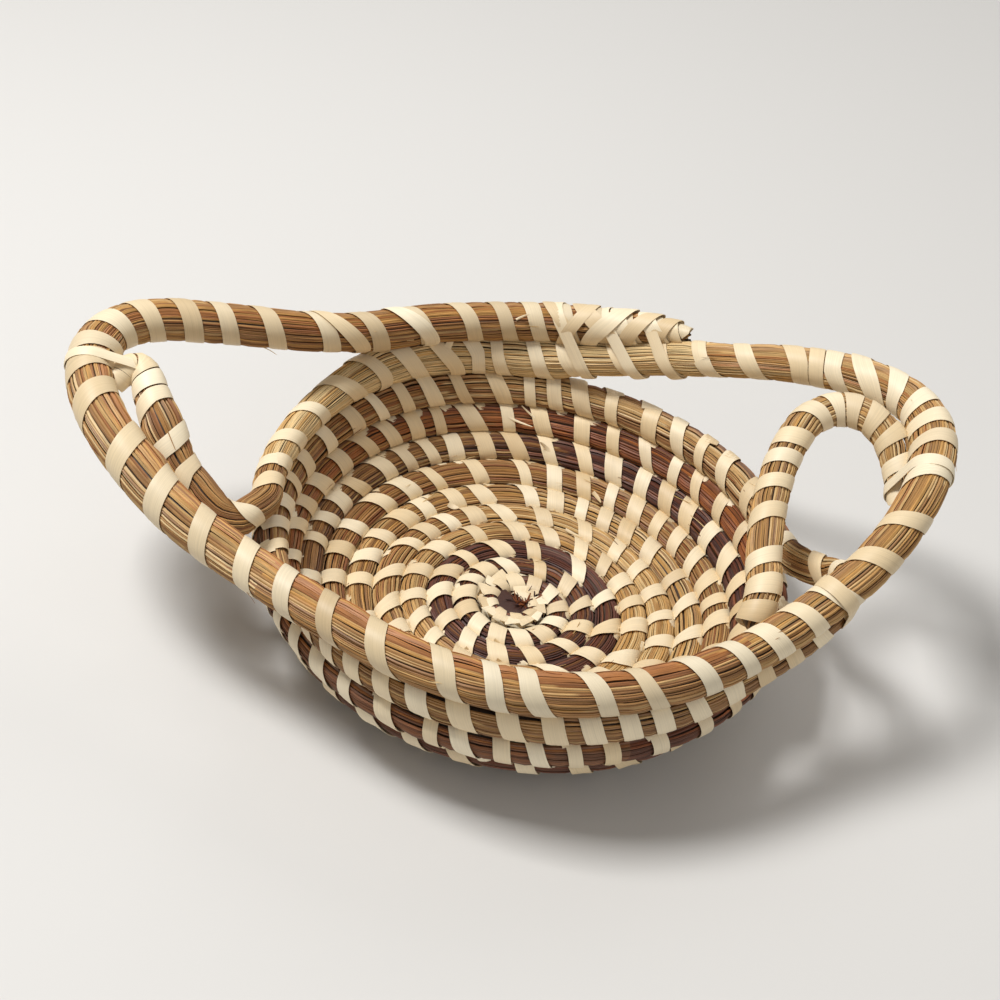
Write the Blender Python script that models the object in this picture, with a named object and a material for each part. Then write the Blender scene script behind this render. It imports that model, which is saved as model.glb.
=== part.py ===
"""Coiled sweetgrass basket with two ear handles.

Metres, +Z up. The basket stands on Z = 0 with its centre knot at the origin, its ears reach out
along X, and -Y is its front.

A bundle of grass starts at a knot and winds outward, clockwise as seen from above, as the floor
and then the wall of a bowl. A second bundle is the rim: it starts at the inside of the left ear,
turns sharply at the bowl, runs along the back, out and round as the right ear, along the front,
out and round as the left ear, and ends as a thin tail on top of the back row. A third, short
bundle curls up from inside the right front of the rim and lies along the right ear. Strips of
palm leaf wrap each bundle, stitch each row, and lash the bundles where they meet.
"""
import math

import bmesh
import bpy
import numpy as np

MM = 0.001

# Section of the bowl, as the middle of the coil follows it
FLOOR_RADIUS = 54.5 * MM
CORNER_RADIUS = 38.0 * MM
WALL_SLOPE = math.radians(88.0)

# The coil: each row is a little wider than the one inside it
START_ROW_WIDTH = 8.5 * MM
ROW_GROWTH_SHARE = 0.035
ROW_GAP = 0.6 * MM
START_BEARING = -101.0
POINTS_PER_ROUND = 24

# The knot that the coil starts from
KNOT_EYE = 7.5 * MM
KNOT_HEIGHT = 8.0 * MM
KNOT_SHARES = [(0.0, 0.82), (0.25, 1.0), (0.7, 1.0), (1.0, 0.72)]

# The last row of the bowl leaves the wall at the right and comes back under the rim
BULGE_REACH = 17.0 * MM
BULGE_RISE = 20.0 * MM
BULGE_BENDS = (20.0, -41.0)
BULGE_POINTS = 3
ROUND_DIGITS = 9
LAST_ROW_START_BEARING = 97.0
LAST_ROW_START_ROUND = 10.2
LAST_ROW_END_BEARING = -150.0

# The wall stands out a little at its back left
LEAN_REACH = 3.5 * MM

# The rim bundle and its ears, measured from where the bowl's coil would run
RIM_THICKNESS = 12.6 * MM
RIGHT_EAR_REACH = 43.0 * MM
RIGHT_EAR_RISE = 40.0 * MM
LEFT_EAR_RISE = 31.0 * MM
RIM_STEP = 11.0 * MM
RIM_START_BEARING = 192.0
RIM_END_BEARING = -301.0
BEARING_STEP = 4.0

# The curl inside each ear; the left ear reaches past its curl
LEFT_CURL_REACH = 50.0 * MM
LEFT_EAR_PAST_CURL = 13.0 * MM
LEFT_EAR_REACH = LEFT_CURL_REACH + LEFT_EAR_PAST_CURL
LEFT_CURL_SPAN = 40.0 * MM
LEFT_CURL_RISE = 34.0 * MM
RIGHT_CURL_THICKNESS = 11.8 * MM
RIGHT_CURL_INSIDE_EAR = 15.0 * MM
RIGHT_CURL_REACH = RIGHT_EAR_REACH - RIGHT_CURL_INSIDE_EAR
RIGHT_CURL_SPAN = 50.0 * MM
RIGHT_CURL_RISE = 42.0 * MM
CURL_STEP = 6.0 * MM
TURN_POINTS = 3
FINE_POINTS = 40
LEFT_CURL_LENGTH_SHARE = 0.45

# Palm leaf strips
STRIP_WIDTH = 5.2 * MM
STRIP_THICKNESS = 0.45 * MM
STRIP_CLEARANCE = 0.6 * MM
CLEARANCE = 0.3 * MM
WRAP_PITCH = 18.0 * MM
CURL_WRAP_PITCH = 8.5 * MM

# Lines of stitches up the bowl: how far each dips between rows, its lean along a row against
# the row's half width, and its half width where the runs of the coil are short
COLUMNS = 24
GROOVE_SHARE = 0.42
STRIP_LEAN_SHARE = 0.5
NARROW_STRIP_SHARE = 0.42
LONG_COLUMN_ROUND = 2.1
SHORT_COLUMN_ROUND = 5.0

# Strips that bind two bundles together
LASHING_WIDTH = 7.0 * MM
TIGHT_CLEARANCE = 0.52 * MM
BESIDE_CLEARANCE = 0.7 * MM
OVER_CLEARANCE = 1.35 * MM
LASHED_REACH = 8.5 * MM
SHARP_BEND = math.radians(36.0)

# Where the lashings are: bearings, and runs from the end of a curl
TAIL_LASHING_BEARINGS = (-274.0, -285.0, -296.0)
BULGE_LASHING_BEARING = -21.5
CURL_END_PLACE = 0.5

FACETS = 6
APOTHEM_SHARE = math.cos(math.pi / FACETS)

# Bearing in degrees, then the share of the wall's lean
LEAN_SHARES = [(60, 0.0), (85, 0.2), (105, 0.6), (125, 1.0), (145, 0.8), (165, 0.2), (185, 0.0)]

# Bearing in degrees, then shares of the ear's reach and rise, in the order the bundle runs
RIGHT_EAR_SHARES = [
    (150, 0.02, 0.03), (130, 0.05, 0.06), (112, 0.05, 0.04), (100, 0.02, 0.03), (87, 0.00, 0.11), (75, 0.00, 0.24),
    (65, 0.00, 0.42), (55, 0.02, 0.60), (45, 0.15, 0.77), (37, 0.40, 0.88), (30, 0.66, 0.95),
    (22, 0.92, 1.00), (14, 1.00, 1.00), (6, 0.90, 0.97), (-2, 0.76, 0.89), (-10, 0.61, 0.75),
    (-18, 0.45, 0.57), (-26, 0.28, 0.39), (-35, 0.15, 0.25), (-46, 0.07, 0.16), (-62, 0.02, 0.10),
    (-90, 0.00, 0.05), (-120, 0.00, 0.00), (-255, 0.00, 0.00), (-270, 0.02, 0.09),
    (-282, 0.03, 0.18), (-292, 0.04, 0.29), (-304, 0.05, 0.41),
]
LEFT_EAR_SHARES = [
    (-90, 0.00, 0.00), (-112, 0.00, 0.00), (-129, 0.04, 0.01), (-139, 0.12, 0.02),
    (-147, 0.22, 0.05), (-154, 0.38, 0.16), (-160, 0.55, 0.32), (-166, 0.72, 0.53),
    (-172, 0.89, 0.74), (-178, 1.00, 0.87), (-184, 1.02, 0.98), (-190, 0.86, 1.00),
    (-195, 0.62, 0.91), (-201, 0.40, 0.78), (-208, 0.22, 0.63), (-216, 0.11, 0.48),
    (-226, 0.05, 0.35), (-240, 0.03, 0.23), (-258, 0.03, 0.11), (-275, 0.03, 0.06),
    (-304, 0.02, 0.06),
]
# Bearing, then shares of the bulge's reach and rise
BULGE_SHARES = [
    (34, 0.00, 0.00), (22, -0.04, 0.00), (12, -0.06, 0.04), (5, 0.16, 0.14), (1, 0.49, 0.28),
    (-3, 0.84, 0.52), (-8, 0.96, 0.86), (-13, 1.00, 1.00), (-19, 0.91, 0.90), (-24, 0.70, 0.68),
    (-31, 0.42, 0.47), (-40, 0.20, 0.30), (-52, 0.10, 0.15), (-66, 0.03, 0.05), (-80, 0.00, 0.00),
]
# Share of the curl's reach outward, of its span to the back, and of its rise, from the rim
LEFT_CURL_SHARES = [
    (0.93, -0.28, 0.95), (0.98, -0.11, 1.00), (0.97, 0.04, 1.03), (0.90, 0.10, 1.03),
    (0.83, 0.00, 0.98), (0.69, -0.21, 0.86),
    (0.52, -0.43, 0.66), (0.39, -0.60, 0.46), (0.30, -0.71, 0.32), (0.21, -0.79, 0.20),
    (0.10, -0.74, 0.11), (0.05, -0.55, 0.05),
]
RIGHT_CURL_SHARES = [
    (-0.66, -0.87, 0.13), (-0.59, -0.79, 0.25), (-0.54, -0.63, 0.33), (-0.56, -0.39, 0.40),
    (-0.56, -0.25, 0.47),
    (-0.51, 0.09, 0.62), (-0.36, 0.42, 0.81), (-0.09, 0.67, 0.95), (0.27, 0.75, 1.02),
    (0.60, 0.68, 1.04), (0.84, 0.55, 0.96), (0.98, 0.34, 0.81), (1.02, 0.10, 0.68),
]
# Thickness of a bundle, as a share of its full one, against the share of its way along
RIM_THICKNESS_SHARES = [
    (0.00, 0.48), (0.02, 0.70), (0.04, 0.88), (0.06, 0.89), (0.10, 0.83), (0.14, 0.88), (0.17, 1.04),
    (0.23, 1.06), (0.28, 0.98), (0.31, 0.98), (0.34, 1.06), (0.37, 1.16), (0.41, 1.14),
    (0.46, 1.06), (0.55, 1.00), (0.62, 1.07), (0.66, 1.12), (0.70, 1.20), (0.74, 1.24),
    (0.78, 1.20), (0.82, 1.14), (0.87, 1.11), (0.93, 1.07), (0.96, 1.00), (0.98, 0.84), (1.00, 0.38),
]
RIGHT_CURL_THICKNESS_SHARES = [(0.0, 0.92), (0.15, 1.0), (0.7, 1.0), (0.88, 0.78), (1.0, 0.5)]
LAST_ROW_SHARES = [(0.0, 1.0), (0.25, 0.86), (0.86, 0.86), (0.94, 0.6), (1.0, 0.26)]

SWEETGRASS = (0.56, 0.37, 0.17)
GOLDEN_GRASS = (0.62, 0.42, 0.16)
RUSSET_NEEDLES = (0.24, 0.10, 0.045)
DARK_NEEDLES = (0.075, 0.035, 0.030)
PALM_LEAF = (0.86, 0.76, 0.53)


def clear_scene():
    """Remove every object of the scene."""
    for old in list(bpy.data.objects):
        bpy.data.objects.remove(old, do_unlink=True)


def material(name, colour, roughness=0.6):
    """A plain finish of one colour."""
    made = bpy.data.materials.new(name)
    made.use_nodes = True
    shader = made.node_tree.nodes["Principled BSDF"]
    shader.inputs["Base Color"].default_value = (*colour, 1)
    shader.inputs["Roughness"].default_value = roughness
    shader.inputs["Metallic"].default_value = 0
    made.diffuse_color = (*colour, 1)
    return made


def add_piece(name, bm, finish):
    """Put a finished mesh into the scene as one named object."""
    bmesh.ops.recalc_face_normals(bm, faces=bm.faces)
    mesh = bpy.data.meshes.new(name)
    bm.to_mesh(mesh)
    bm.free()
    piece = bpy.data.objects.new(name, mesh)
    bpy.context.scene.collection.objects.link(piece)
    mesh.materials.append(material(name, finish))
    return piece


def follow(table, at, column, steady=False):
    """Read a table of shares smoothly: cubic pieces whose slope at a row joins its neighbours.

    A steady reading is level wherever the table turns or stays level, so it never overshoots.
    """
    table = np.array(sorted(table), float)
    x, y = table[:, 0], table[:, column]
    slope = np.gradient(y, x)
    if steady:
        rise = np.diff(y) / np.diff(x)
        before, after = rise[:-1], rise[1:]
        level = before * after <= 0
        mean = 2 * before * after / np.where(level, 1, before + after)
        slope = np.concatenate([rise[:1], np.where(level, 0, mean), rise[-1:]])
    at = np.clip(at, x[0], x[-1])
    i = np.clip(np.searchsorted(x, at) - 1, 0, len(x) - 2)
    width = x[i + 1] - x[i]
    t = (at - x[i]) / width
    start = (1 + 2 * t) * (1 - t) ** 2 * y[i] + t * (1 - t) ** 2 * width * slope[i]
    end = t * t * (3 - 2 * t) * y[i + 1] + t * t * (t - 1) * width * slope[i + 1]
    return start + end


def unit(vectors):
    """Vectors of length one."""
    return vectors / np.linalg.norm(vectors, axis=-1, keepdims=True)


# The bowl's spiral

def section_distance(rounds):
    """Distance along the bowl's section after so many rounds, the rows growing as they go."""
    return START_ROW_WIDTH / ROW_GROWTH_SHARE * (np.exp(ROW_GROWTH_SHARE * rounds) - 1)


def rounds_at(distance):
    """Rounds wound when the coil is at this distance along the section."""
    return math.log(1 + distance * ROW_GROWTH_SHARE / START_ROW_WIDTH) / ROW_GROWTH_SHARE


def bundle_radius(distance):
    """Half the width of the row there, less half the gap to the next row."""
    return (START_ROW_WIDTH + ROW_GROWTH_SHARE * distance - ROW_GAP) / 2


def bearing(rounds):
    """Bearing of the coil in degrees; it falls as the coil goes clockwise."""
    return START_BEARING - 360 * rounds


def rounds_after(bearing_degrees, least_rounds):
    """Rounds at which the coil first passes a bearing after least_rounds."""
    turned = (bearing(least_rounds) - bearing_degrees) / 360
    return least_rounds + turned - math.floor(turned)


def spiral(rounds):
    """Middle of the coil, and the direction across the rows there.

    The section is a flat floor, an arc that turns up to WALL_SLOPE, then a straight wall. A row
    of the floor lies on a flat of its section, and one that starts to tilt on its lowest corner.
    """
    distance = section_distance(rounds)
    slope = np.clip((distance - FLOOR_RADIUS) / CORNER_RADIUS, 0, WALL_SLOPE)
    above = np.maximum(distance - FLOOR_RADIUS - CORNER_RADIUS * WALL_SLOPE, 0)
    out = np.minimum(distance, FLOOR_RADIUS) + CORNER_RADIUS * np.sin(slope)
    out = out + above * math.cos(WALL_SLOPE)
    lying = bundle_radius(distance) * np.cos(math.pi / FACETS - np.minimum(slope, math.pi / FACETS))
    up = lying + CORNER_RADIUS * (1 - np.cos(slope)) + above * math.sin(WALL_SLOPE)
    wound = bearing(rounds)
    wall = np.clip((distance - FLOOR_RADIUS) / (CORNER_RADIUS * WALL_SLOPE), 0, 1)
    out = out + LEAN_REACH * wall * follow(LEAN_SHARES, wound % 360, 1)
    angle = np.radians(wound)
    radial = np.stack([np.cos(angle), np.sin(angle), 0 * angle], -1)
    middle = out[:, None] * radial + np.stack([0 * up, 0 * up, up], -1)
    across = np.cos(slope)[:, None] * radial + np.sin(slope)[:, None] * np.array([0, 0, 1])
    return middle, across


# Bundles as rings of corners

def corner_rings(middle, across, radius):
    """Six corners round each point of a path, the first pointing along across."""
    along = unit(np.gradient(middle, axis=0))
    first = unit(across - (across * along).sum(-1, keepdims=True) * along)
    second = np.cross(along, first)
    turn = np.arange(FACETS) * 2 * math.pi / FACETS
    spoke = first[:, None] * np.cos(turn)[:, None] + second[:, None] * np.sin(turn)[:, None]
    return middle[:, None] + radius[:, None, None] * spoke


def ring_at(rings, place):
    """The corners at a fractional place among the rings, on the straight run between two."""
    i = int(min(max(math.floor(place), 0), len(rings) - 2))
    return rings[i] + (place - i) * (rings[i + 1] - rings[i])


def run_length(rings, place):
    """Length of the straight run that holds this place."""
    i = int(min(max(math.floor(place), 0), len(rings) - 2))
    return float(np.linalg.norm(rings[i + 1].mean(0) - rings[i].mean(0)))


def bundle(name, rings, start, end, finish):
    """One closed length of a bundle, cut square at both fractional places, capped flat."""
    start = start + CLEARANCE / 2 / run_length(rings, start)
    end = end - CLEARANCE / 2 / run_length(rings, end)
    inner = range(math.floor(start) + 1, math.ceil(end))
    loops = [ring_at(rings, start)] + [rings[i] for i in inner] + [ring_at(rings, end)]
    bm = bmesh.new()
    corners = [[bm.verts.new(corner) for corner in loop] for loop in loops]
    for one, other in zip(corners, corners[1:]):
        for k in range(FACETS):
            n = (k + 1) % FACETS
            bm.faces.new((one[k], one[n], other[n], other[k]))
    bm.faces.new(corners[0])
    bm.faces.new(corners[-1])
    return add_piece(name, bm, finish)


def least_gap(rings, name):
    """Measure on points how near a bundle comes to itself, and print it."""
    middle = np.concatenate([rings.mean(1), (rings[:-1].mean(1) + rings[1:].mean(1)) / 2])
    radius = np.linalg.norm(rings - rings.mean(1, keepdims=True), axis=-1).max(-1)
    radius = np.concatenate([radius, (radius[:-1] + radius[1:]) / 2])
    order = np.concatenate([np.arange(len(rings)), np.arange(len(rings) - 1) + 0.5])
    apart = np.linalg.norm(middle[:, None] - middle[None], axis=-1)
    apart = apart - radius[:, None] - radius[None]
    walked = np.interp(order, np.arange(len(rings)), walked_along(rings))
    far_along = np.abs(walked[:, None] - walked[None]) > math.pi * (radius[:, None] + radius[None])
    print("%s: least gap to itself %.2f mm" % (name, apart[far_along].min() / MM))


# Strips round the bundles

def add_band(bm, inner, outer, closed):
    """A strip as a closed solid: inner and outer skins of two or more lines, joined all round."""
    rows = [[bm.verts.new(point) for point in line] for line in inner + outer[::-1]]
    count = len(rows[0])
    for k in range(count if closed else count - 1):
        n = (k + 1) % count
        for one, other in zip(rows, rows[1:] + rows[:1]):
            bm.faces.new((one[k], one[n], other[n], other[k]))
    if not closed:
        for k in (0, count - 1):
            bm.faces.new([row[k] for row in rows])


def walked_along(rings):
    """Length of a bundle from its start to each of its rings."""
    runs = np.linalg.norm(np.diff(rings.mean(1), axis=0), axis=-1)
    return np.concatenate([[0], np.cumsum(runs)])


def add_winding(bm, rings, start, end, pitch):
    """A strip wound round a bundle without a break, a corner of the bundle at a time.

    A line along its middle follows the bundle's own bend wherever the strip lies over one.
    """
    walked = walked_along(rings)
    order = np.arange(len(rings))
    half = STRIP_WIDTH / 2
    first, last = np.interp([start, end], order, walked) + np.array([half, -half])
    turns = max(round((last - first) / pitch), 1)
    middles = np.linspace(first, last, turns * FACETS + 1)
    near, middle, far = [np.interp(middles + side, walked, order) for side in (-half, 0, half)]
    bend = np.round(middle)
    middle = np.where((bend > near) & (bend < far), bend, middle)
    skins = []
    for lift in (STRIP_CLEARANCE, STRIP_CLEARANCE + STRIP_THICKNESS):
        skins.append([np.array([lifted(ring_at(rings, place), n % FACETS, lift)
                                for n, place in enumerate(line)])
                      for line in (near, middle, far)])
    add_band(bm, skins[0], skins[1], closed=False)


def lifted(ring, corner, lift):
    """A corner of a ring pushed out so that a flat strip between two of them clears by lift."""
    middle = ring.mean(0)
    radius = np.linalg.norm(ring[corner] - middle)
    return middle + (ring[corner] - middle) * (1 + lift / (radius * APOTHEM_SHARE))


def add_column(bm, rings, places):
    """A line of stitches over the rows of the bowl, from its outermost row inward.

    places has one place on each row. The strip goes over the two inner corners of a row, and
    dips between rows by GROOVE_SHARE of the facet that it runs down. Seen along a row it leans,
    so each stitch starts where the one outside it ends.
    """
    skins = []
    for lift in (STRIP_CLEARANCE, STRIP_CLEARANCE + STRIP_THICKNESS):
        edges = []
        for side in (-1, 1):
            edge, above = [], None
            for place in places:
                length = run_length(rings, place)
                half = side * min(STRIP_WIDTH / 2, length * NARROW_STRIP_SHARE)
                lean = STRIP_LEAN_SHARE * ring_radius(rings, place)
                outer, top, low, inner = [
                    lifted(ring_at(rings, place + (half + shift) / length), corner, lift)
                    for corner, shift in ((0, -lean), (1, -lean / 2), (2, lean / 2), (3, lean))]
                outer_dip = top + GROOVE_SHARE * (outer - top)
                edge += [outer_dip if above is None else (above + outer_dip) / 2, top, low]
                above = low + GROOVE_SHARE * (inner - low)
            edges.append(np.array(edge + [above]))
        skins.append(edges)
    add_band(bm, skins[0], skins[1], closed=False)


def ring_radius(rings, place):
    """Half the width of a bundle at a place."""
    ring = ring_at(rings, place)
    return float(np.linalg.norm(ring[0] - ring.mean(0)))


def add_lashing(bm, rings, place, other_rings, other_place, other_clearance):
    """A strip round two bundles that run side by side: the hull of their two sections.

    Each edge of the strip is laid in a plane across the way that the bundles run, round the two
    sections where that edge meets them. It lies tight on the first bundle, and clears the other
    one by other_clearance.
    """
    middle, other = ring_at(rings, place).mean(0), ring_at(other_rings, other_place).mean(0)
    centre = (middle + other) / 2
    across = unit(other - middle)
    along = heading(rings, place)
    same_way = 1 if along @ heading(other_rings, other_place) > 0 else -1
    along = unit(along + same_way * heading(other_rings, other_place))
    along = unit(along - (along @ across) * across)
    side = np.cross(along, across)
    turn = np.arange(FACETS + 1) * math.pi / FACETS
    skins = []
    for skin in (0, STRIP_THICKNESS):
        edges = []
        for edge in (-1, 1):
            half = edge * LASHING_WIDTH / 2
            near = ring_at(rings, place + half / run_length(rings, place))
            far = ring_at(other_rings,
                          other_place + same_way * half / run_length(other_rings, other_place))
            outline = []
            for ring, start, lift in ((near, math.pi / 2, TIGHT_CLEARANCE),
                                      (far, -math.pi / 2, other_clearance)):
                hub = ring.mean(0)
                reach = np.linalg.norm(ring - hub, axis=-1).max() + lift + skin
                reach = reach / math.cos(math.pi / FACETS / 2)
                angle = start + turn
                outline.append(np.stack([(hub - centre) @ across + reach * np.cos(angle),
                                         (hub - centre) @ side + reach * np.sin(angle)], -1))
            outline = np.concatenate(outline)
            edges.append(centre + half * along + outline[:, :1] * across + outline[:, 1:] * side)
        skins.append(edges)
    add_band(bm, skins[0], skins[1], closed=True)


def heading(rings, place):
    """Way that a bundle runs at a place."""
    i = int(min(max(math.floor(place), 0), len(rings) - 2))
    return unit(rings[i + 1].mean(0) - rings[i].mean(0))


def nearest_place(rings, point, first=0):
    """Fractional place, at or after the ring first, where a bundle passes nearest a point."""
    middle = rings[first:].mean(1)
    run = np.diff(middle, axis=0)
    share = ((point - middle[:-1]) * run).sum(-1) / (run * run).sum(-1)
    share = np.clip(share, 0, 1)
    apart = np.linalg.norm(middle[:-1] + share[:, None] * run - point, axis=-1)
    i = int(np.argmin(apart))
    return first + i + float(share[i])


def longest_clear(rings, start, end, left_out):
    """The longest stretch of a bundle between start and end with no place that is left out."""
    stretches, here = [], start
    for place in sorted(place for place in left_out if start < place < end):
        reach = LASHED_REACH / run_length(rings, place)
        stretches.append((place - reach - here, here, place - reach))
        here = place + reach
    stretches.append((end - here, here, end))
    return max(stretches)[1:]


# The bowl

def bowl_rings():
    """Corner rings of the whole bowl coil, from the knot to its thin end under the rim."""
    first_distance = KNOT_EYE + CLEARANCE + START_ROW_WIDTH / 2
    first = math.ceil(rounds_at(first_distance) * POINTS_PER_ROUND)
    last_round = rounds_after(LAST_ROW_START_BEARING, LAST_ROW_START_ROUND)
    last_round = rounds_after(LAST_ROW_END_BEARING, last_round)
    last = math.floor(last_round * POINTS_PER_ROUND)
    rounds = np.arange(first, last + 1) / POINTS_PER_ROUND
    bulge_start = rounds_after(BULGE_SHARES[0][0], last_round - 1)
    bent = np.arange(first * BULGE_POINTS, last * BULGE_POINTS) / (POINTS_PER_ROUND * BULGE_POINTS)
    bent = bent[(bent > rounds_after(BULGE_BENDS[0], bulge_start))
                & (bent < rounds_after(BULGE_BENDS[1], bulge_start))]
    rounds = np.unique(np.round(np.concatenate([rounds, bent]), ROUND_DIGITS))
    middle, across = spiral(rounds)
    radius = bundle_radius(section_distance(rounds))
    on_bulge = rounds > bulge_start
    here = bearing(rounds) - bearing(bulge_start) + BULGE_SHARES[0][0]
    out = np.where(on_bulge, follow(BULGE_SHARES, here, 1), 0) * BULGE_REACH
    up = np.where(on_bulge, follow(BULGE_SHARES, here, 2), 0) * BULGE_RISE
    radial = unit(middle * np.array([1, 1, 0]))
    middle = middle + out[:, None] * radial + up[:, None] * np.array([0, 0, 1])
    way = np.clip((rounds - bulge_start) / (last_round - bulge_start), 0, 1)
    radius = radius * np.where(on_bulge, follow(LAST_ROW_SHARES, way, 1, steady=True), 1)
    return rounds, corner_rings(middle, across, radius)


# Each length of the bowl's bundle, the round at which it ends, and its grass
BOWL_PIECES = [
    ("start_coil", 3.9, RUSSET_NEEDLES), ("golden_floor_coil", 6.9, GOLDEN_GRASS),
    ("brown_floor_coil", 7.9, RUSSET_NEEDLES), ("dark_wall_coil", 8.9, DARK_NEEDLES),
    ("russet_wall_coil", 9.9, RUSSET_NEEDLES), ("tan_wall_coil", 10.72, SWEETGRASS),
    ("last_row_coil", None, SWEETGRASS),
]


def make_bowl(rounds, rings):
    """The coil of the bowl in its lengths of grass, and the lines of stitches on its inside."""
    start = 0
    for name, last_round, finish in BOWL_PIECES:
        end = len(rings) - 1
        if last_round is not None:
            end = int(np.searchsorted(rounds, last_round)) - 1 / 2
        bundle(name, rings, start, end, finish)
        start = end
    full_round = rounds_after(BULGE_SHARES[0][0], rounds[-1] - 1)
    top = int(np.searchsorted(rounds, full_round)) - 1 / 2
    for column in range(COLUMNS):
        least = SHORT_COLUMN_ROUND if column % 2 else LONG_COLUMN_ROUND
        bm = bmesh.new()
        add_column(bm, rings, column_places(rounds, rings, top - column, least))
        add_piece("stitch_column_%02d" % (column + 1), bm, PALM_LEAF)


def column_places(rounds, rings, place, least_round):
    """Places of one line of stitches, row by row inward, each further on by the strip's lean."""
    places = []
    while place > 0 and rounds[math.floor(place)] > least_round:
        places.append(place)
        lean = 2 * STRIP_LEAN_SHARE * ring_radius(rings, place)
        place = place - POINTS_PER_ROUND
        place = place + lean / run_length(rings, place)
    return places


def make_knot(rounds, rings):
    """The centre knot: its outline fills the eye of the coil and ends square at the coil's start."""
    first = rings[0].mean(0)
    start = math.atan2(first[1], first[0])
    turn = np.arange(POINTS_PER_ROUND) / POINTS_PER_ROUND
    distance = section_distance(rounds[0] + turn)
    reach = distance - bundle_radius(distance) - CLEARANCE
    angle = start - turn * 2 * math.pi
    bm = bmesh.new()
    rows = []
    for height_share, reach_share in KNOT_SHARES:
        row = []
        for ray, direction in zip(reach * reach_share, angle):
            row.append(bm.verts.new((ray * math.cos(direction), ray * math.sin(direction),
                                     height_share * KNOT_HEIGHT)))
        rows.append(row)
    for one, other in zip(rows, rows[1:]):
        for k in range(POINTS_PER_ROUND):
            n = (k + 1) % POINTS_PER_ROUND
            bm.faces.new((one[k], one[n], other[n], other[k]))
    bm.faces.new(rows[0])
    bm.faces.new(rows[-1])
    add_piece("centre_knot", bm, RUSSET_NEEDLES)


# The rim and its ears

def smooth_path(points, step):
    """A smooth curve through points, read at even steps along it.

    Between two points the curve is a cubic whose slope at each point joins its neighbours.
    """
    points = np.array(points, float)
    spans = np.linalg.norm(np.diff(points, axis=0), axis=-1)
    reached = np.concatenate([[0], np.cumsum(spans)])
    fine = np.linspace(0, reached[-1], FINE_POINTS * len(points))
    curve = np.stack([follow(np.stack([reached, points[:, k]], -1).tolist(), fine, 1)
                      for k in range(3)], -1)
    walked = np.concatenate([[0], np.cumsum(np.linalg.norm(np.diff(curve, axis=0), axis=-1))])
    count = max(round(walked[-1] / step), 2)
    even = np.linspace(0, walked[-1], count + 1)
    return np.stack([np.interp(even, walked, curve[:, k]) for k in range(3)], -1)


def rim_curve(degrees):
    """Points of the rim bundle at these bearings, which fall without a jump as it winds.

    The bundle follows the bowl's own spiral, one row further out, and the tables of the ears
    carry it out and up from there.
    """
    row = rounds_after(LAST_ROW_START_BEARING, LAST_ROW_START_ROUND + 1)
    middle, across = spiral(row + (LAST_ROW_START_BEARING - degrees) / 360)
    out = follow(RIGHT_EAR_SHARES, degrees, 1) * RIGHT_EAR_REACH
    out = out + follow(LEFT_EAR_SHARES, degrees, 1) * LEFT_EAR_REACH
    up = follow(RIGHT_EAR_SHARES, degrees, 2) * RIGHT_EAR_RISE
    up = up + follow(LEFT_EAR_SHARES, degrees, 2) * LEFT_EAR_RISE
    radial = unit(middle * np.array([1, 1, 0]))
    return middle + out[:, None] * radial + up[:, None] * np.array([0, 0, 1])


def upright_rings(middle, radius):
    """Corner rings of a free bundle, with a corner on top."""
    up = np.zeros_like(middle)
    up[:, 2] = 1
    return corner_rings(middle, up, radius)


def rim_rings():
    """Corner rings of the rim bundle, and how many of them belong to the curl and its turn."""
    curve = rim_curve(np.arange(RIM_START_BEARING, RIM_END_BEARING, -BEARING_STEP))
    reach, height = np.linalg.norm(curve[0][:2]), curve[0][2]
    curl = [np.array([-reach - out * LEFT_CURL_REACH, back * LEFT_CURL_SPAN,
                      height + up * LEFT_CURL_RISE]) for out, back, up in LEFT_CURL_SHARES]
    tight = smooth_path(curl + list(curve[1:1 + TURN_POINTS]), CURL_STEP)
    rest = smooth_path(list(curve[TURN_POINTS:]), RIM_STEP)
    middle = np.concatenate([tight, rest[1:]])
    walked = np.concatenate([[0], np.cumsum(np.linalg.norm(np.diff(middle, axis=0), axis=-1))])
    share = follow(RIM_THICKNESS_SHARES, walked / walked[-1], 1, steady=True)
    return upright_rings(middle, share * RIM_THICKNESS / 2), len(tight)


def right_curl_rings():
    """Corner rings of the short bundle that curls up inside the right ear."""
    foot = rim_curve(np.array([RIM_START_BEARING]))[0]
    reach, height = np.linalg.norm(foot[:2]), foot[2]
    points = [np.array([reach + out * RIGHT_CURL_REACH, back * RIGHT_CURL_SPAN,
                        height + up * RIGHT_CURL_RISE]) for out, back, up in RIGHT_CURL_SHARES]
    middle = smooth_path(points, CURL_STEP)
    way = np.linspace(0, 1, len(middle))
    share = follow(RIGHT_CURL_THICKNESS_SHARES, way, 1, steady=True)
    return upright_rings(middle, share * RIGHT_CURL_THICKNESS / 2)


# Bearing at which each piece of the rim ends
RIM_PIECES = [
    ("left_turn_coil", 178.0), ("back_row_coil", 54.0), ("right_ear_coil", -42.0),
    ("rim_front_coil", -142.0), ("left_ear_coil", -218.0), ("back_top_coil", None),
]


def make_wrapped(name, rings, start, end, left_out, pitch=WRAP_PITCH):
    """One length of a free bundle, and the strip wound round it as a piece of its own."""
    bundle(name, rings, start, end, SWEETGRASS)
    bm = bmesh.new()
    first, last = longest_clear(rings, start, end, left_out)
    add_winding(bm, rings, first, last, pitch)
    add_piece(name.replace("coil", "wrap"), bm, PALM_LEAF)


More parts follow.
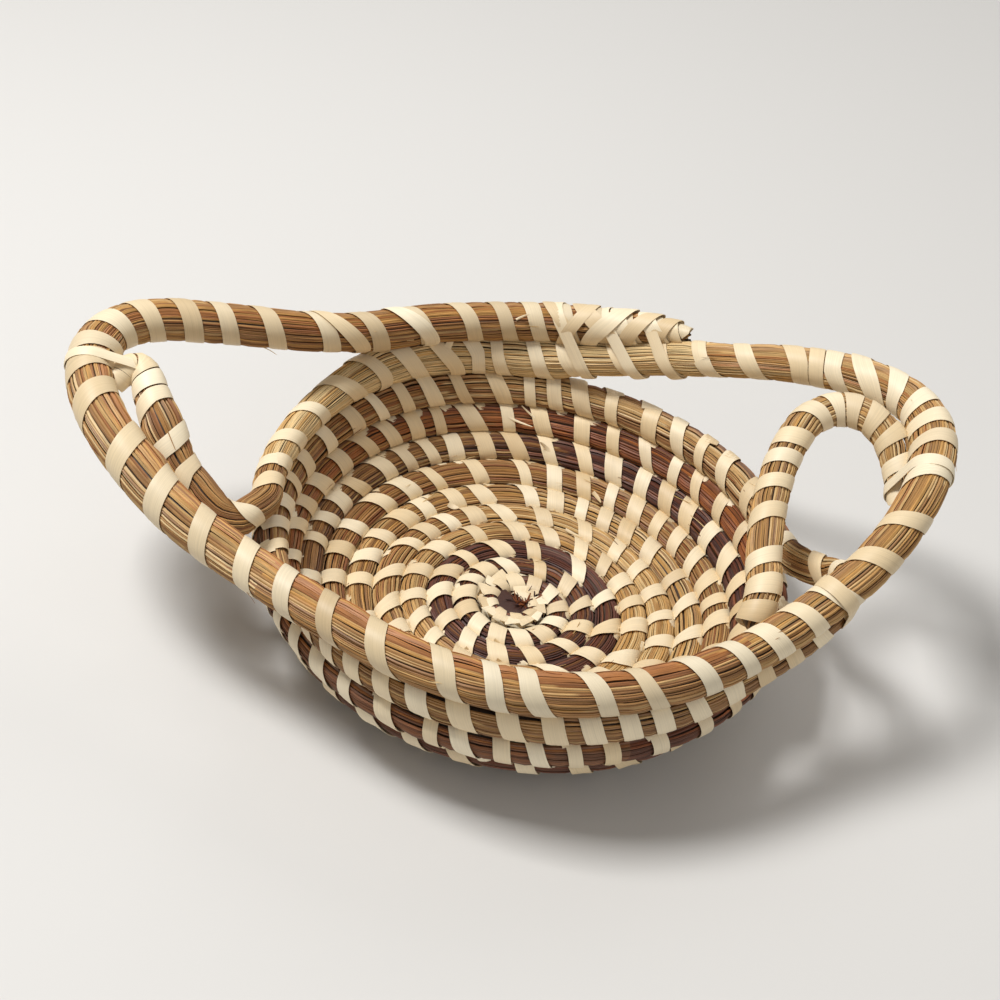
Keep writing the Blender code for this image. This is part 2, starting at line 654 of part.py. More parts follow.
def make_rim(rings, tight, left_out):
    """The rim bundle in its lengths, from the curl in the left ear to the thin tail."""
    start, end = 0, math.floor(LEFT_CURL_LENGTH_SHARE * tight) + 1 / 2
    make_wrapped("left_curl_coil", rings, start, end, left_out)
    for name, last in RIM_PIECES:
        start, end = end, len(rings) - 1
        if last is not None:
            point = rim_curve(np.array([last]))[0]
            end = math.floor(nearest_place(rings, point, math.ceil(start))) + 1 / 2
        make_wrapped(name, rings, start, end, left_out)


def find_lashings(rim, tight, curl, coil):
    """For each lashing its name, whether it lies over other strips, and its two places.

    The places are a bundle's rings and the place on it, then the same of the bundle beside it.
    """
    def beside(rings, place, others, first=0):
        return rings, place, others, nearest_place(others, ring_at(rings, place).mean(0), first)

    def row_above_row(degrees):
        top = nearest_place(rim, rim_curve(np.array([degrees]))[0], tight)
        below = nearest_place(rim, rim_curve(np.array([degrees + 360]))[0], tight)
        return rim, top, rim, below

    bulge = nearest_place(coil, rim_curve(np.array([BULGE_LASHING_BEARING]))[0], len(coil) // 2)
    lashings = [
        ("left_curl_lashing", True, beside(rim, CURL_END_PLACE, rim, tight)),
        ("right_curl_lashing", True, beside(curl, len(curl) - 1 - CURL_END_PLACE, rim, tight)),
        ("bulge_lashing", True, beside(coil, bulge, rim, tight)),
    ]
    for number, degrees in enumerate(TAIL_LASHING_BEARINGS, 1):
        lashings.append(("tail_lashing_%d" % number, False, row_above_row(degrees)))
    return lashings


def make_lashings(lashings):
    """The strip of every lashing, each a piece of its own."""
    for name, over, places in lashings:
        bm = bmesh.new()
        add_lashing(bm, *places, OVER_CLEARANCE if over else BESIDE_CLEARANCE)
        add_piece(name, bm, PALM_LEAF)


def tight_places(bundle_rings, lashings):
    """Places on one bundle where no winding goes.

    They are its sharp bends, the end that a lashing holds and, where the lashing is tight, the
    bundle that holds it.
    """
    runs = unit(np.diff(bundle_rings.mean(1), axis=0))
    sharp = (runs[1:] * runs[:-1]).sum(-1) < math.cos(SHARP_BEND)
    taken = [1 + i for i in np.flatnonzero(sharp)]
    for _, over, (rings, place, others, other_place) in lashings:
        taken += [place] if rings is bundle_rings else []
        taken += [other_place] if others is bundle_rings and not over else []
    return taken


clear_scene()
bowl_rounds, bowl = bowl_rings()
rim, tight_rings = rim_rings()
right_curl = right_curl_rings()
for bundle_name, bundle_rings in (("bowl coil", bowl), ("rim", rim), ("right curl", right_curl)):
    least_gap(bundle_rings, bundle_name)
bindings = find_lashings(rim, tight_rings, right_curl, bowl)
make_knot(bowl_rounds, bowl)
make_bowl(bowl_rounds, bowl)
make_rim(rim, tight_rings, tight_places(rim, bindings))
make_wrapped("right_curl_coil", right_curl, 0, len(right_curl) - 1,
             tight_places(right_curl, bindings), CURL_WRAP_PITCH)
make_lashings(bindings)
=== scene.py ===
# %% [markdown]
# # A coiled grass basket with two ear handles
# The real basket has no frame. It is bundles of dry grass and pine needles, wound into a coil, and
# every turn is held to the one before it by strips of palm leaf. So nothing here is a bowl shape
# with a straw picture on it: each blade is a thin tube, and each strip is a thin band that goes
# round its bundle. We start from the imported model, which fixes where everything lies.

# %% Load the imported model
import math

import bpy
import numpy as np
from mathutils import Matrix


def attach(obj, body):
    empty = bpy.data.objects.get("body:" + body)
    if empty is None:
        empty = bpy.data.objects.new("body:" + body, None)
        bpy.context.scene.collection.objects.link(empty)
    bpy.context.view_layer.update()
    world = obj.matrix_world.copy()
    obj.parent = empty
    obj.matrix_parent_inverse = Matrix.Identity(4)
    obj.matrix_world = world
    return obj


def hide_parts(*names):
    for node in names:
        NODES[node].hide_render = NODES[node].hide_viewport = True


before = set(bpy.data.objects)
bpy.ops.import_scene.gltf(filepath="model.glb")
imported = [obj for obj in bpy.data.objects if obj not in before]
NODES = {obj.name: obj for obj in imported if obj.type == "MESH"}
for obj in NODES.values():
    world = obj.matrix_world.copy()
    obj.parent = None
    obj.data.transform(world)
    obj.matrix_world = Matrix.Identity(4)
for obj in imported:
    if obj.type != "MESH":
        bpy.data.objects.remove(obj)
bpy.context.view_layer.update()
MM = 0.001
print("nodes of the model:", len(NODES))

# %% [markdown]
# ## The camera
# The photograph was taken by hand, so the camera is rolled as well as tilted. It comes first,
# because the strips on the near side are placed where the photograph shows them. A camera looks
# along its own -Z, so its three axes go into the columns of a rotation matrix.

# %% Camera
IMAGE_SIZE = 1000
FOCAL_PIXELS = 1622.6
CAMERA_PLACE = np.array([-12.7, -437.7, 413.6]) * MM
CAMERA_PITCH = math.radians(39.40)
CAMERA_ROLL = math.radians(9.61)


def camera_axes(pitch, roll):
    """Right, up and back of a camera that looks down by pitch and is then turned by roll."""
    level_up = np.array([0, math.sin(pitch), math.cos(pitch)])
    back = np.array([0, -math.cos(pitch), math.sin(pitch)])
    east = np.array([1.0, 0, 0])
    right = math.cos(roll) * east + math.sin(roll) * level_up
    return right, math.cos(roll) * level_up - math.sin(roll) * east, back


CAMERA_RIGHT, CAMERA_UP, CAMERA_BACK = camera_axes(CAMERA_PITCH, CAMERA_ROLL)
eye = bpy.data.objects.new("photo_camera", bpy.data.cameras.new("photo_camera"))
bpy.context.scene.collection.objects.link(eye)
turn = np.eye(4)
turn[:3, 0], turn[:3, 1], turn[:3, 2], turn[:3, 3] = CAMERA_RIGHT, CAMERA_UP, CAMERA_BACK, CAMERA_PLACE
eye.matrix_world = Matrix(turn.tolist())
eye.data.lens = FOCAL_PIXELS / IMAGE_SIZE * eye.data.sensor_width
eye.data.clip_start = 0.01
bpy.context.scene.camera = eye


def pixels(points):
    """Where points fall in the photograph: their offsets over their depth, times the focal length."""
    offset = points - CAMERA_PLACE
    depth = -offset @ CAMERA_BACK
    x = offset @ CAMERA_RIGHT / depth
    y = offset @ CAMERA_UP / depth
    return np.stack([IMAGE_SIZE / 2 + FOCAL_PIXELS * x, IMAGE_SIZE / 2 - FOCAL_PIXELS * y], -1)


print("lens: %.1f mm" % eye.data.lens)

# %% [markdown]
# ## Reading a table as a smooth curve
# The ears have no formula: someone bent them by hand. A short table of shares says how far out and
# up the bundle goes at each bearing, and a cubic between two rows of the table keeps the slope
# steady, so the bundle bends like grass and not like a chain of rods.


# %% Smooth reading of a table
def follow(table, at, column, steady=False):
    """Cubic pieces through a table. Each slope is the mean slope of the rows beside it.

    A steady reading is level where the table turns or stays level, so it never overshoots.
    """
    table = np.array(sorted(table), float)
    x, y = table[:, 0], table[:, column]
    slope = np.gradient(y, x)
    if steady:
        rise = np.diff(y) / np.diff(x)
        before, after = rise[:-1], rise[1:]
        level = before * after <= 0
        mean = 2 * before * after / np.where(level, 1, before + after)
        slope = np.concatenate([rise[:1], np.where(level, 0, mean), rise[-1:]])
    at = np.clip(at, x[0], x[-1])
    i = np.clip(np.searchsorted(x, at) - 1, 0, len(x) - 2)
    width = x[i + 1] - x[i]
    t = (at - x[i]) / width
    start = (1 + 2 * t) * (1 - t) ** 2 * y[i] + t * (1 - t) ** 2 * width * slope[i]
    end = t * t * (3 - 2 * t) * y[i + 1] + t * t * (t - 1) * width * slope[i + 1]
    return start + end


def unit(vectors):
    """Vectors divided by their own length."""
    return vectors / np.linalg.norm(vectors, axis=-1, keepdims=True)


# %% [markdown]
# ## The bowl is one long spiral
# Seen in section, the bowl is a flat floor, an arc and a nearly upright wall. The coil walks along
# that section by one row's width in each round, and each row is a little thicker than the last.
# With rounds wound as the only parameter, the whole bowl is one function.

# %% The spiral of the bowl
FLOOR_RADIUS = 54.5 * MM
CORNER_RADIUS = 38.0 * MM
WALL_SLOPE = math.radians(88.0)
START_ROW_WIDTH = 8.5 * MM
ROW_GROWTH_SHARE = 0.035
ROW_GAP = 0.6 * MM
START_BEARING = -101.0
FACETS = 6
ROW_SQUARENESS = 2.5
ROW_PRESS = 0.38 * MM
LEAN_REACH = 3.5 * MM
LEAN_SHARES = [(60, 0.0), (85, 0.2), (105, 0.6), (125, 1.0), (145, 0.8), (165, 0.2), (185, 0.0)]


def section_distance(rounds):
    """Distance along the section: the sum of row widths that grow by a share each round."""
    return START_ROW_WIDTH / ROW_GROWTH_SHARE * (np.exp(ROW_GROWTH_SHARE * rounds) - 1)


def rounds_at(distance):
    """The inverse of section_distance."""
    return math.log(1 + distance * ROW_GROWTH_SHARE / START_ROW_WIDTH) / ROW_GROWTH_SHARE


def row_radius(distance):
    """Half the row's width there, less half the gap to the next row."""
    return (START_ROW_WIDTH + ROW_GROWTH_SHARE * distance - ROW_GAP) / 2


def bearing(rounds):
    """Bearing in degrees, which falls as the coil goes clockwise."""
    return START_BEARING - 360 * rounds


def rounds_after(degrees, least_rounds):
    """Rounds at which the coil first passes a bearing after least_rounds."""
    turned = (bearing(least_rounds) - degrees) / 360
    return least_rounds + turned - math.floor(turned)


def spiral(rounds, behind=0.0):
    """Middle of the coil, and the direction across its rows: floor, then arc, then wall.

    Half a round behind, the same distance along the section lies between two rows.
    """
    distance = section_distance(rounds)
    slope = np.clip((distance - FLOOR_RADIUS) / CORNER_RADIUS, 0, WALL_SLOPE)
    above = np.maximum(distance - FLOOR_RADIUS - CORNER_RADIUS * WALL_SLOPE, 0)
    out = np.minimum(distance, FLOOR_RADIUS) + CORNER_RADIUS * np.sin(slope)
    out = out + above * math.cos(WALL_SLOPE)
    lying = row_radius(distance) * np.cos(math.pi / FACETS - np.minimum(slope, math.pi / FACETS))
    up = lying + CORNER_RADIUS * (1 - np.cos(slope)) + above * math.sin(WALL_SLOPE)
    wound = bearing(rounds - behind)
    wall = np.clip((distance - FLOOR_RADIUS) / (CORNER_RADIUS * WALL_SLOPE), 0, 1)
    out = out + LEAN_REACH * wall * follow(LEAN_SHARES, wound % 360, 1)
    angle = np.radians(wound)
    radial = np.stack([np.cos(angle), np.sin(angle), 0 * angle], -1)
    middle = out[:, None] * radial + np.stack([0 * up, 0 * up, up], -1)
    across = np.cos(slope)[:, None] * radial + np.sin(slope)[:, None] * np.array([0, 0, 1])
    return middle, across


# %% [markdown]
# ## A bundle is a path with a frame
# Strands and strips both need to know where they are on a bundle: how far along it, and at what
# angle round it. So each bundle keeps its middle line at even steps, two directions square to it,
# its radius, and the length walked so far. An angle of 0 is the first direction, which points
# across the rows in the bowl and up on the free bundles, and a quarter turn is the bowl's inside.

# %% Bundles
STEP = 2.1 * MM
SETTLE_OVERLAP = 0.45 * MM
SETTLE_REACH = 6.0 * MM
SETTLE_FADE = 2.5 * MM
SETTLE_RAMP = 12.0 * MM
LEFT_CURL_SWELL = 0.30


class Bundle:
    """A path at even steps, with its frame, radius and walked length."""

    def __init__(self, name, middle, across, radius, squareness=2.0, press=0.0):
        walked = np.concatenate([[0], np.cumsum(np.linalg.norm(np.diff(middle, axis=0), axis=-1))])
        self.name, self.squareness, self.press = name, squareness, press
        self.walked = np.linspace(0, walked[-1], round(walked[-1] / STEP) + 1)
        self.middle = np.stack([np.interp(self.walked, walked, middle[:, k]) for k in range(3)], -1)
        across = np.stack([np.interp(self.walked, walked, across[:, k]) for k in range(3)], -1)
        self.radius = np.interp(self.walked, walked, radius)
        self.along = unit(np.gradient(self.middle, axis=0))
        flat = across - (across * self.along).sum(-1, keepdims=True) * self.along
        self.first = unit(flat)
        self.second = np.cross(self.along, self.first)
        self.turns = None
        self.bumps = []

    def at(self, walked, angle, distance):
        """Points at a walked length, an angle and a distance from the middle line."""
        place = np.clip(walked, 0, self.walked[-1])
        middle, first, second = [np.stack([np.interp(place, self.walked, line[:, k]) for k in range(3)], -1)
                                 for line in (self.middle, self.first, self.second)]
        spoke = np.cos(angle)[..., None] * first + np.sin(angle)[..., None] * second
        return middle + distance[..., None] * spoke

    def radius_at(self, walked):
        """Radius of the bundle at a walked length."""
        return np.interp(walked, self.walked, self.radius)

    def reach(self, walked, angle):
        """Distance to the surface: a rounded square, pressed out against the rows beside it.

        The sum of the squareness powers of cosine and sine is 1 on the outline.
        """
        power = self.squareness
        cosine, sine = np.abs(np.cos(angle)), np.abs(np.sin(angle))
        outline = (cosine ** power + sine ** power) ** (-1 / power)
        reach = self.radius_at(walked) * outline + self.press * cosine ** 4
        for height, first, second in self.bumps:
            high, toward = np.interp(walked, self.walked, height), np.interp(walked, self.walked, first)
            toward = toward * np.cos(angle) + np.interp(walked, self.walked, second) * np.sin(angle)
            reach = reach + high * np.maximum(toward, 0) ** 3
        return reach

    def settle(self, low, high, other, other_low, other_high):
        """Press the side out to meet a bundle that lies against it.

        The height is half the gap and a little more, and fades where the gap is wide.
        """
        under = np.flatnonzero((other.walked >= other_low) & (other.walked <= other_high))
        apart = np.linalg.norm(self.middle[:, None] - other.middle[under][None], axis=-1)
        nearest = under[np.argmin(apart, axis=1)]
        toward = (other.middle[nearest] - self.middle) / np.maximum(apart.min(axis=1), MM)[:, None]
        gap = apart.min(axis=1) - self.radius - other.radius[nearest]
        inside = np.clip(np.minimum(self.walked - low, high - self.walked) / SETTLE_RAMP + 0.5, 0, 1)
        height = (np.maximum(gap, 0) / 2 + SETTLE_OVERLAP) * inside
        height = height * np.clip((SETTLE_REACH - gap) / SETTLE_FADE, 0, 1)
        self.bumps.append((height, (toward * self.first).sum(-1), (toward * self.second).sum(-1)))

    def surface(self, walked, angle, lift):
        """Points a little above the surface, and the direction straight out there."""
        walked, angle, lift = np.broadcast_arrays(walked, angle, lift)
        inner = self.at(walked, angle, 0 * lift)
        point = self.at(walked, angle, self.reach(walked, angle) + lift)
        return point, unit(point - inner)

    def nearest(self, point, low=0.0, high=None):
        """Walked length at which the bundle passes nearest a point."""
        inside = (self.walked >= low) & (self.walked <= (high or self.walked[-1]))
        apart = np.linalg.norm(self.middle[inside] - point, axis=-1)
        return float(self.walked[inside][np.argmin(apart)])

    def seen_at(self, pixel, low, high):
        """Walked length, and the angle round the bundle that faces the camera, at a pixel."""
        inside = np.flatnonzero((self.walked >= low) & (self.walked <= high))
        apart = np.linalg.norm(pixels(self.middle[inside]) - pixel, axis=-1)
        i = inside[np.argmin(apart)]
        sight = CAMERA_PLACE - self.middle[i]
        return float(self.walked[i]), math.atan2(sight @ self.second[i], sight @ self.first[i])


# %% [markdown]
# ## The bowl's bundle, with its bulge
# The last row leaves the wall at the right, swings out, and comes back under the rim as a thin
# end. We add that swing to the spiral from a table of shares, as for the ears.

# %% The bowl's bundle
KNOT_EYE = 7.5 * MM
CLEARANCE = 0.3 * MM
BULGE_REACH = 17.0 * MM
BULGE_RISE = 20.0 * MM
LAST_ROW_START_BEARING = 97.0
LAST_ROW_START_ROUND = 10.2
LAST_ROW_END_BEARING = -150.0
ROUND_STEP = 1 / 360
BULGE_SHARES = [
    (34, 0.00, 0.00), (22, -0.04, 0.00), (12, -0.06, 0.04), (5, 0.16, 0.14), (1, 0.49, 0.28),
    (-3, 0.84, 0.52), (-8, 0.96, 0.86), (-13, 1.00, 1.00), (-19, 0.91, 0.90), (-24, 0.70, 0.68),
    (-31, 0.42, 0.47), (-40, 0.20, 0.30), (-52, 0.10, 0.15), (-66, 0.03, 0.05), (-80, 0.00, 0.00),
]
LAST_ROW_SHARES = [(0.0, 1.0), (0.25, 0.86), (0.86, 0.86), (0.94, 0.6), (1.0, 0.26)]


def bowl_bundle():
    """The spiral from the knot to its thin end, with the bulge's reach and rise added to it."""
    first_round = rounds_at(KNOT_EYE + CLEARANCE + START_ROW_WIDTH / 2)
    last_round = rounds_after(LAST_ROW_START_BEARING, LAST_ROW_START_ROUND)
    last_round = rounds_after(LAST_ROW_END_BEARING, last_round)
    rounds = np.arange(first_round, last_round, ROUND_STEP)
    middle, across = spiral(rounds)
    radius = row_radius(section_distance(rounds))
    bulge_start = rounds_after(BULGE_SHARES[0][0], last_round - 1)
    on_bulge = rounds > bulge_start
    here = bearing(rounds) - bearing(bulge_start) + BULGE_SHARES[0][0]
    out = np.where(on_bulge, follow(BULGE_SHARES, here, 1), 0) * BULGE_REACH
    up = np.where(on_bulge, follow(BULGE_SHARES, here, 2), 0) * BULGE_RISE
    radial = unit(middle * np.array([1, 1, 0]))
    middle = middle + out[:, None] * radial + up[:, None] * np.array([0, 0, 1])
    way = np.clip((rounds - bulge_start) / (last_round - bulge_start), 0, 1)
    radius = radius * np.where(on_bulge, follow(LAST_ROW_SHARES, way, 1, steady=True), 1)
    made = Bundle("bowl", middle, across, radius, ROW_SQUARENESS, ROW_PRESS)
    walked = np.concatenate([[0], np.cumsum(np.linalg.norm(np.diff(middle, axis=0), axis=-1))])
    made.rounds = np.interp(made.walked, walked, rounds)
    return made, rounds


bowl, bowl_rounds = bowl_bundle()
print("bowl: %.2f m of bundle in %.1f rounds" % (bowl.walked[-1], bowl_rounds[-1] - bowl_rounds[0]))

# %% [markdown]
# ## The rim and its ears
# The rim bundle follows the same spiral one row further out, and two tables carry it out and up
# at the ears. It starts with a curl inside the left ear and ends as a tail on its own back row.

# %% The rim's bundle
RIM_THICKNESS = 12.6 * MM
RIGHT_EAR_REACH = 43.0 * MM
RIGHT_EAR_RISE = 40.0 * MM
LEFT_EAR_REACH = 63.0 * MM
LEFT_EAR_RISE = 31.0 * MM
LEFT_CURL_REACH = 50.0 * MM
LEFT_CURL_SPAN = 40.0 * MM
LEFT_CURL_RISE = 34.0 * MM
RIM_STEP = 11.0 * MM
CURL_STEP = 6.0 * MM
FINE_STEP = 0.5 * MM
TURN_POINTS = 3
RIM_START_BEARING = 192.0
RIM_END_BEARING = -301.0
BEARING_STEP = 4.0
RIGHT_EAR_SHARES = [
    (150, 0.02, 0.03), (130, 0.05, 0.06), (112, 0.05, 0.04), (100, 0.02, 0.03), (87, 0.00, 0.11), (75, 0.00, 0.24),
    (65, 0.00, 0.42), (55, 0.02, 0.60), (45, 0.15, 0.77), (37, 0.40, 0.88), (30, 0.66, 0.95),
    (22, 0.92, 1.00), (14, 1.00, 1.00), (6, 0.90, 0.97), (-2, 0.76, 0.89), (-10, 0.61, 0.75),
    (-18, 0.45, 0.57), (-26, 0.28, 0.39), (-35, 0.15, 0.25), (-46, 0.07, 0.16), (-62, 0.02, 0.10),
    (-90, 0.00, 0.05), (-120, 0.00, 0.00), (-255, 0.00, 0.00), (-270, 0.02, 0.09),
    (-282, 0.03, 0.18), (-292, 0.04, 0.29), (-304, 0.05, 0.41),
]
LEFT_EAR_SHARES = [
    (-90, 0.00, 0.00), (-112, 0.00, 0.00), (-129, 0.04, 0.01), (-139, 0.12, 0.02),
    (-147, 0.22, 0.05), (-154, 0.38, 0.16), (-160, 0.55, 0.32), (-166, 0.72, 0.53),
    (-172, 0.89, 0.74), (-178, 1.00, 0.87), (-184, 1.02, 0.98), (-190, 0.86, 1.00),
    (-195, 0.62, 0.91), (-201, 0.40, 0.78), (-208, 0.22, 0.63), (-216, 0.11, 0.48),
    (-226, 0.05, 0.35), (-240, 0.03, 0.23), (-258, 0.03, 0.11), (-275, 0.03, 0.06),
    (-304, 0.02, 0.06),
]
LEFT_CURL_SHARES = [
    (1.10, -0.14, 0.93), (1.06, -0.05, 0.99), (0.99, 0.05, 1.03), (0.92, 0.09, 1.03),
    (0.88, 0.00, 0.98), (0.78, -0.21, 0.86),
    (0.63, -0.43, 0.66), (0.49, -0.60, 0.46), (0.34, -0.71, 0.32), (0.22, -0.79, 0.20),
    (0.10, -0.74, 0.11), (0.05, -0.55, 0.05),
]
RIM_THICKNESS_SHARES = [
    (0.00, 0.48), (0.02, 0.70), (0.04, 0.88), (0.06, 0.89), (0.10, 0.83), (0.14, 0.88), (0.17, 1.04),
    (0.23, 1.06), (0.28, 0.98), (0.31, 0.98), (0.34, 1.06), (0.37, 1.16), (0.41, 1.14),
    (0.46, 1.06), (0.55, 1.00), (0.62, 1.07), (0.66, 1.12), (0.70, 1.20), (0.74, 1.24),
    (0.78, 1.20), (0.82, 1.14), (0.87, 1.11), (0.93, 1.07), (0.96, 1.00), (0.98, 0.84), (1.00, 0.38),
]


def smooth_path(points, step):
    """A cubic through each two points, whose slopes join, read at even steps."""
    points = np.array(points, float)
    spans = np.linalg.norm(np.diff(points, axis=0), axis=-1)
    reached = np.concatenate([[0], np.cumsum(spans)])
    fine = np.linspace(0, reached[-1], 40 * len(points))
    curve = np.stack([follow(np.stack([reached, points[:, k]], -1).tolist(), fine, 1)
                      for k in range(3)], -1)
    walked = np.concatenate([[0], np.cumsum(np.linalg.norm(np.diff(curve, axis=0), axis=-1))])
    even = np.linspace(0, walked[-1], max(round(walked[-1] / step), 2) + 1)
    return np.stack([np.interp(even, walked, curve[:, k]) for k in range(3)], -1)


def rim_curve(degrees):
    """The bowl's spiral one row further out, plus the ears' reach and rise."""
    row = rounds_after(LAST_ROW_START_BEARING, LAST_ROW_START_ROUND + 1)
    middle, across = spiral(row + (LAST_ROW_START_BEARING - degrees) / 360)
    out = follow(RIGHT_EAR_SHARES, degrees, 1) * RIGHT_EAR_REACH
    out = out + follow(LEFT_EAR_SHARES, degrees, 1) * LEFT_EAR_REACH
    up = follow(RIGHT_EAR_SHARES, degrees, 2) * RIGHT_EAR_RISE
    up = up + follow(LEFT_EAR_SHARES, degrees, 2) * LEFT_EAR_RISE
    radial = unit(middle * np.array([1, 1, 0]))
    return middle + out[:, None] * radial + up[:, None] * np.array([0, 0, 1])


def free_bundle(name, coarse, thickness, shares):
    """A bundle smoothed between its coarse points, whose first direction is up."""
    middle = smooth_path(coarse, FINE_STEP)
    up = np.zeros_like(middle)
    up[:, 2] = 1
    way = np.linspace(0, 1, len(middle))
    return Bundle(name, middle, up, follow(shares, way, 1, steady=True) * thickness / 2)


def rim_bundle():
    """The left curl and its tight turn, then the way round by bearings."""
    curve = rim_curve(np.arange(RIM_START_BEARING, RIM_END_BEARING, -BEARING_STEP))
    reach, height = np.linalg.norm(curve[0][:2]), curve[0][2]
    curl = [np.array([-reach - out * LEFT_CURL_REACH, back * LEFT_CURL_SPAN,
                      height + up * LEFT_CURL_RISE]) for out, back, up in LEFT_CURL_SHARES]
    tight = smooth_path(curl + list(curve[1:1 + TURN_POINTS]), CURL_STEP)
    rest = smooth_path(list(curve[TURN_POINTS:]), RIM_STEP)
    coarse = np.concatenate([tight, rest[1:]])
    return free_bundle("rim", coarse, RIM_THICKNESS, RIM_THICKNESS_SHARES), tight[-1]


rim, turn_end = rim_bundle()
print("rim: %.2f m of bundle" % rim.walked[-1])

# %% [markdown]
# ## The curl in the right ear
# A short third bundle rises from inside the front rim, arches over, and lies along the ear.

# %% The right curl's bundle
RIGHT_CURL_THICKNESS = 11.8 * MM
RIGHT_CURL_REACH = RIGHT_EAR_REACH - 15.0 * MM
RIGHT_CURL_SPAN = 50.0 * MM
RIGHT_CURL_RISE = 42.0 * MM
RIGHT_CURL_SHARES = [
    (-0.66, -0.87, 0.13), (-0.59, -0.79, 0.25), (-0.54, -0.63, 0.33), (-0.56, -0.39, 0.40),
    (-0.56, -0.25, 0.47), (-0.51, 0.09, 0.62), (-0.36, 0.42, 0.81), (-0.09, 0.67, 0.95), (0.27, 0.75, 1.02),
    (0.60, 0.68, 1.04), (0.84, 0.55, 0.96), (0.98, 0.34, 0.81), (1.02, 0.10, 0.68),
]
RIGHT_CURL_THICKNESS_SHARES = [(0.0, 0.92), (0.15, 1.0), (0.7, 1.0), (0.88, 0.78), (1.0, 0.5)]


def right_curl_bundle():
    """Its points are shares of the curl's reach, span and rise from the rim's start."""
    foot = rim_curve(np.array([RIM_START_BEARING]))[0]
    reach, height = np.linalg.norm(foot[:2]), foot[2]
    coarse = [np.array([reach + out * RIGHT_CURL_REACH, back * RIGHT_CURL_SPAN,
                        height + up * RIGHT_CURL_RISE]) for out, back, up in RIGHT_CURL_SHARES]
    return free_bundle("right_curl", smooth_path(coarse, CURL_STEP), RIGHT_CURL_THICKNESS,
                       RIGHT_CURL_THICKNESS_SHARES)


right_curl = right_curl_bundle()
print("right curl: %.0f mm of bundle" % (right_curl.walked[-1] / MM))

# %% [markdown]
# ## Where the strips go
# A strip winds round its bundle like the stripe on a barber's pole. We describe it by one rising
# function, the turns wound at each walked length: the strip's middle lies wherever that number,
# less the angle round the bundle, is whole. The same function then tells every blade of grass how
# near the next strip is, so the blades are pinched under it and swell between.


# %% Turns of a strip
def set_turns(bundle, places, angles):
    """Turns against walked length: place k is wound at k turns plus its own angle."""
    places, angles = np.array(places), np.array(angles)
    number = np.arange(len(places)) + angles / (2 * math.pi)
    number = np.maximum.accumulate(number + np.arange(len(places)) * 1e-6)
    first_pitch, last_pitch = places[1] - places[0], places[-1] - places[-2]
    low = [places[0] - 60 * first_pitch]
    high = [places[-1] + 60 * last_pitch]
    bundle.turns = (np.concatenate([low, places, high]),
                    np.concatenate([[number[0] - 60], number, [number[-1] + 60]]))


def turns_at(bundle, walked):
    """Turns wound at a walked length."""
    return np.interp(walked, *bundle.turns)


def walked_at(bundle, turns):
    """Walked length at a number of turns."""
    return np.interp(turns, bundle.turns[1], bundle.turns[0])


def pitch_at(bundle, turns):
    """Length that one turn takes there."""
    return walked_at(bundle, turns + 0.5) - walked_at(bundle, turns - 0.5)


def off_strip(bundle, walked, angle):
    """Distance from the middle of the nearest strip, square to it."""
    phase = turns_at(bundle, walked) - angle / (2 * math.pi)
    pitch = pitch_at(bundle, turns_at(bundle, walked))
    lean = np.arctan2(pitch, 2 * math.pi * bundle.radius_at(walked))
    return np.abs(phase - np.round(phase)) * pitch * np.cos(lean)


# %% [markdown]
# ## Stitches of the bowl
# The basket maker pushes each stitch through the stitch of the row inside it, which is why they
# line up in swirling lines. We sew the same way: every stitch is a child of one on the row
# before, set back by half the stitch spacing. Where the circle has grown and the spacing is too
# wide, one more is sewn in between, and where two would crowd, one is left out.

# %% Sew the bowl
LEAST_SPACING = 10.5 * MM
MOST_SPACING = 20.5 * MM
FIRST_SPACING = 8.0 * MM
STITCH_SWAY = 1.3 * MM


def sew_bowl(bundle, rounds):
    """Walked lengths of all stitches. Each new one lies a round on from its parent, less a lean."""
    random = np.random.default_rng(5)
    fine, _ = spiral(rounds)
    walked = np.concatenate([[0], np.cumsum(np.linalg.norm(np.diff(fine, axis=0), axis=-1))])
    walked = walked * bundle.walked[-1] / walked[-1]
    places = [FIRST_SPACING / 2]
    while np.interp(places[-1], walked, rounds) < rounds[0] + 1:
        places.append(places[-1] + FIRST_SPACING)
    parent = 0
    while True:
        gap = places[parent + 1] - places[parent]
        turned = np.interp(places[parent], walked, rounds) + 1
        if turned > rounds[-1]:
            break
        child = float(np.interp(turned, rounds, walked)) - gap / 2
        parent += 1
        gap = child - places[-1]
        if gap < LEAST_SPACING:
            continue
        if gap > MOST_SPACING:
            places.append(places[-1] + gap / 2)
        places.append(child + random.uniform(-STITCH_SWAY, STITCH_SWAY))
    return np.array([place for place in places if place < bundle.walked[-1]])


stitches = sew_bowl(bowl, bowl_rounds)
set_turns(bowl, stitches, np.full(len(stitches), math.pi / 2))
print("stitches in the bowl:", len(stitches))

# %% [markdown]
# ## Strips of the rim and the curls
# On the near side each strip is placed by the pixel at its middle in the photograph. From the
# pixel we find the place on the bundle, and the angle round it that faces the camera. Behind, and
# wherever two are far apart, the spacing is even.

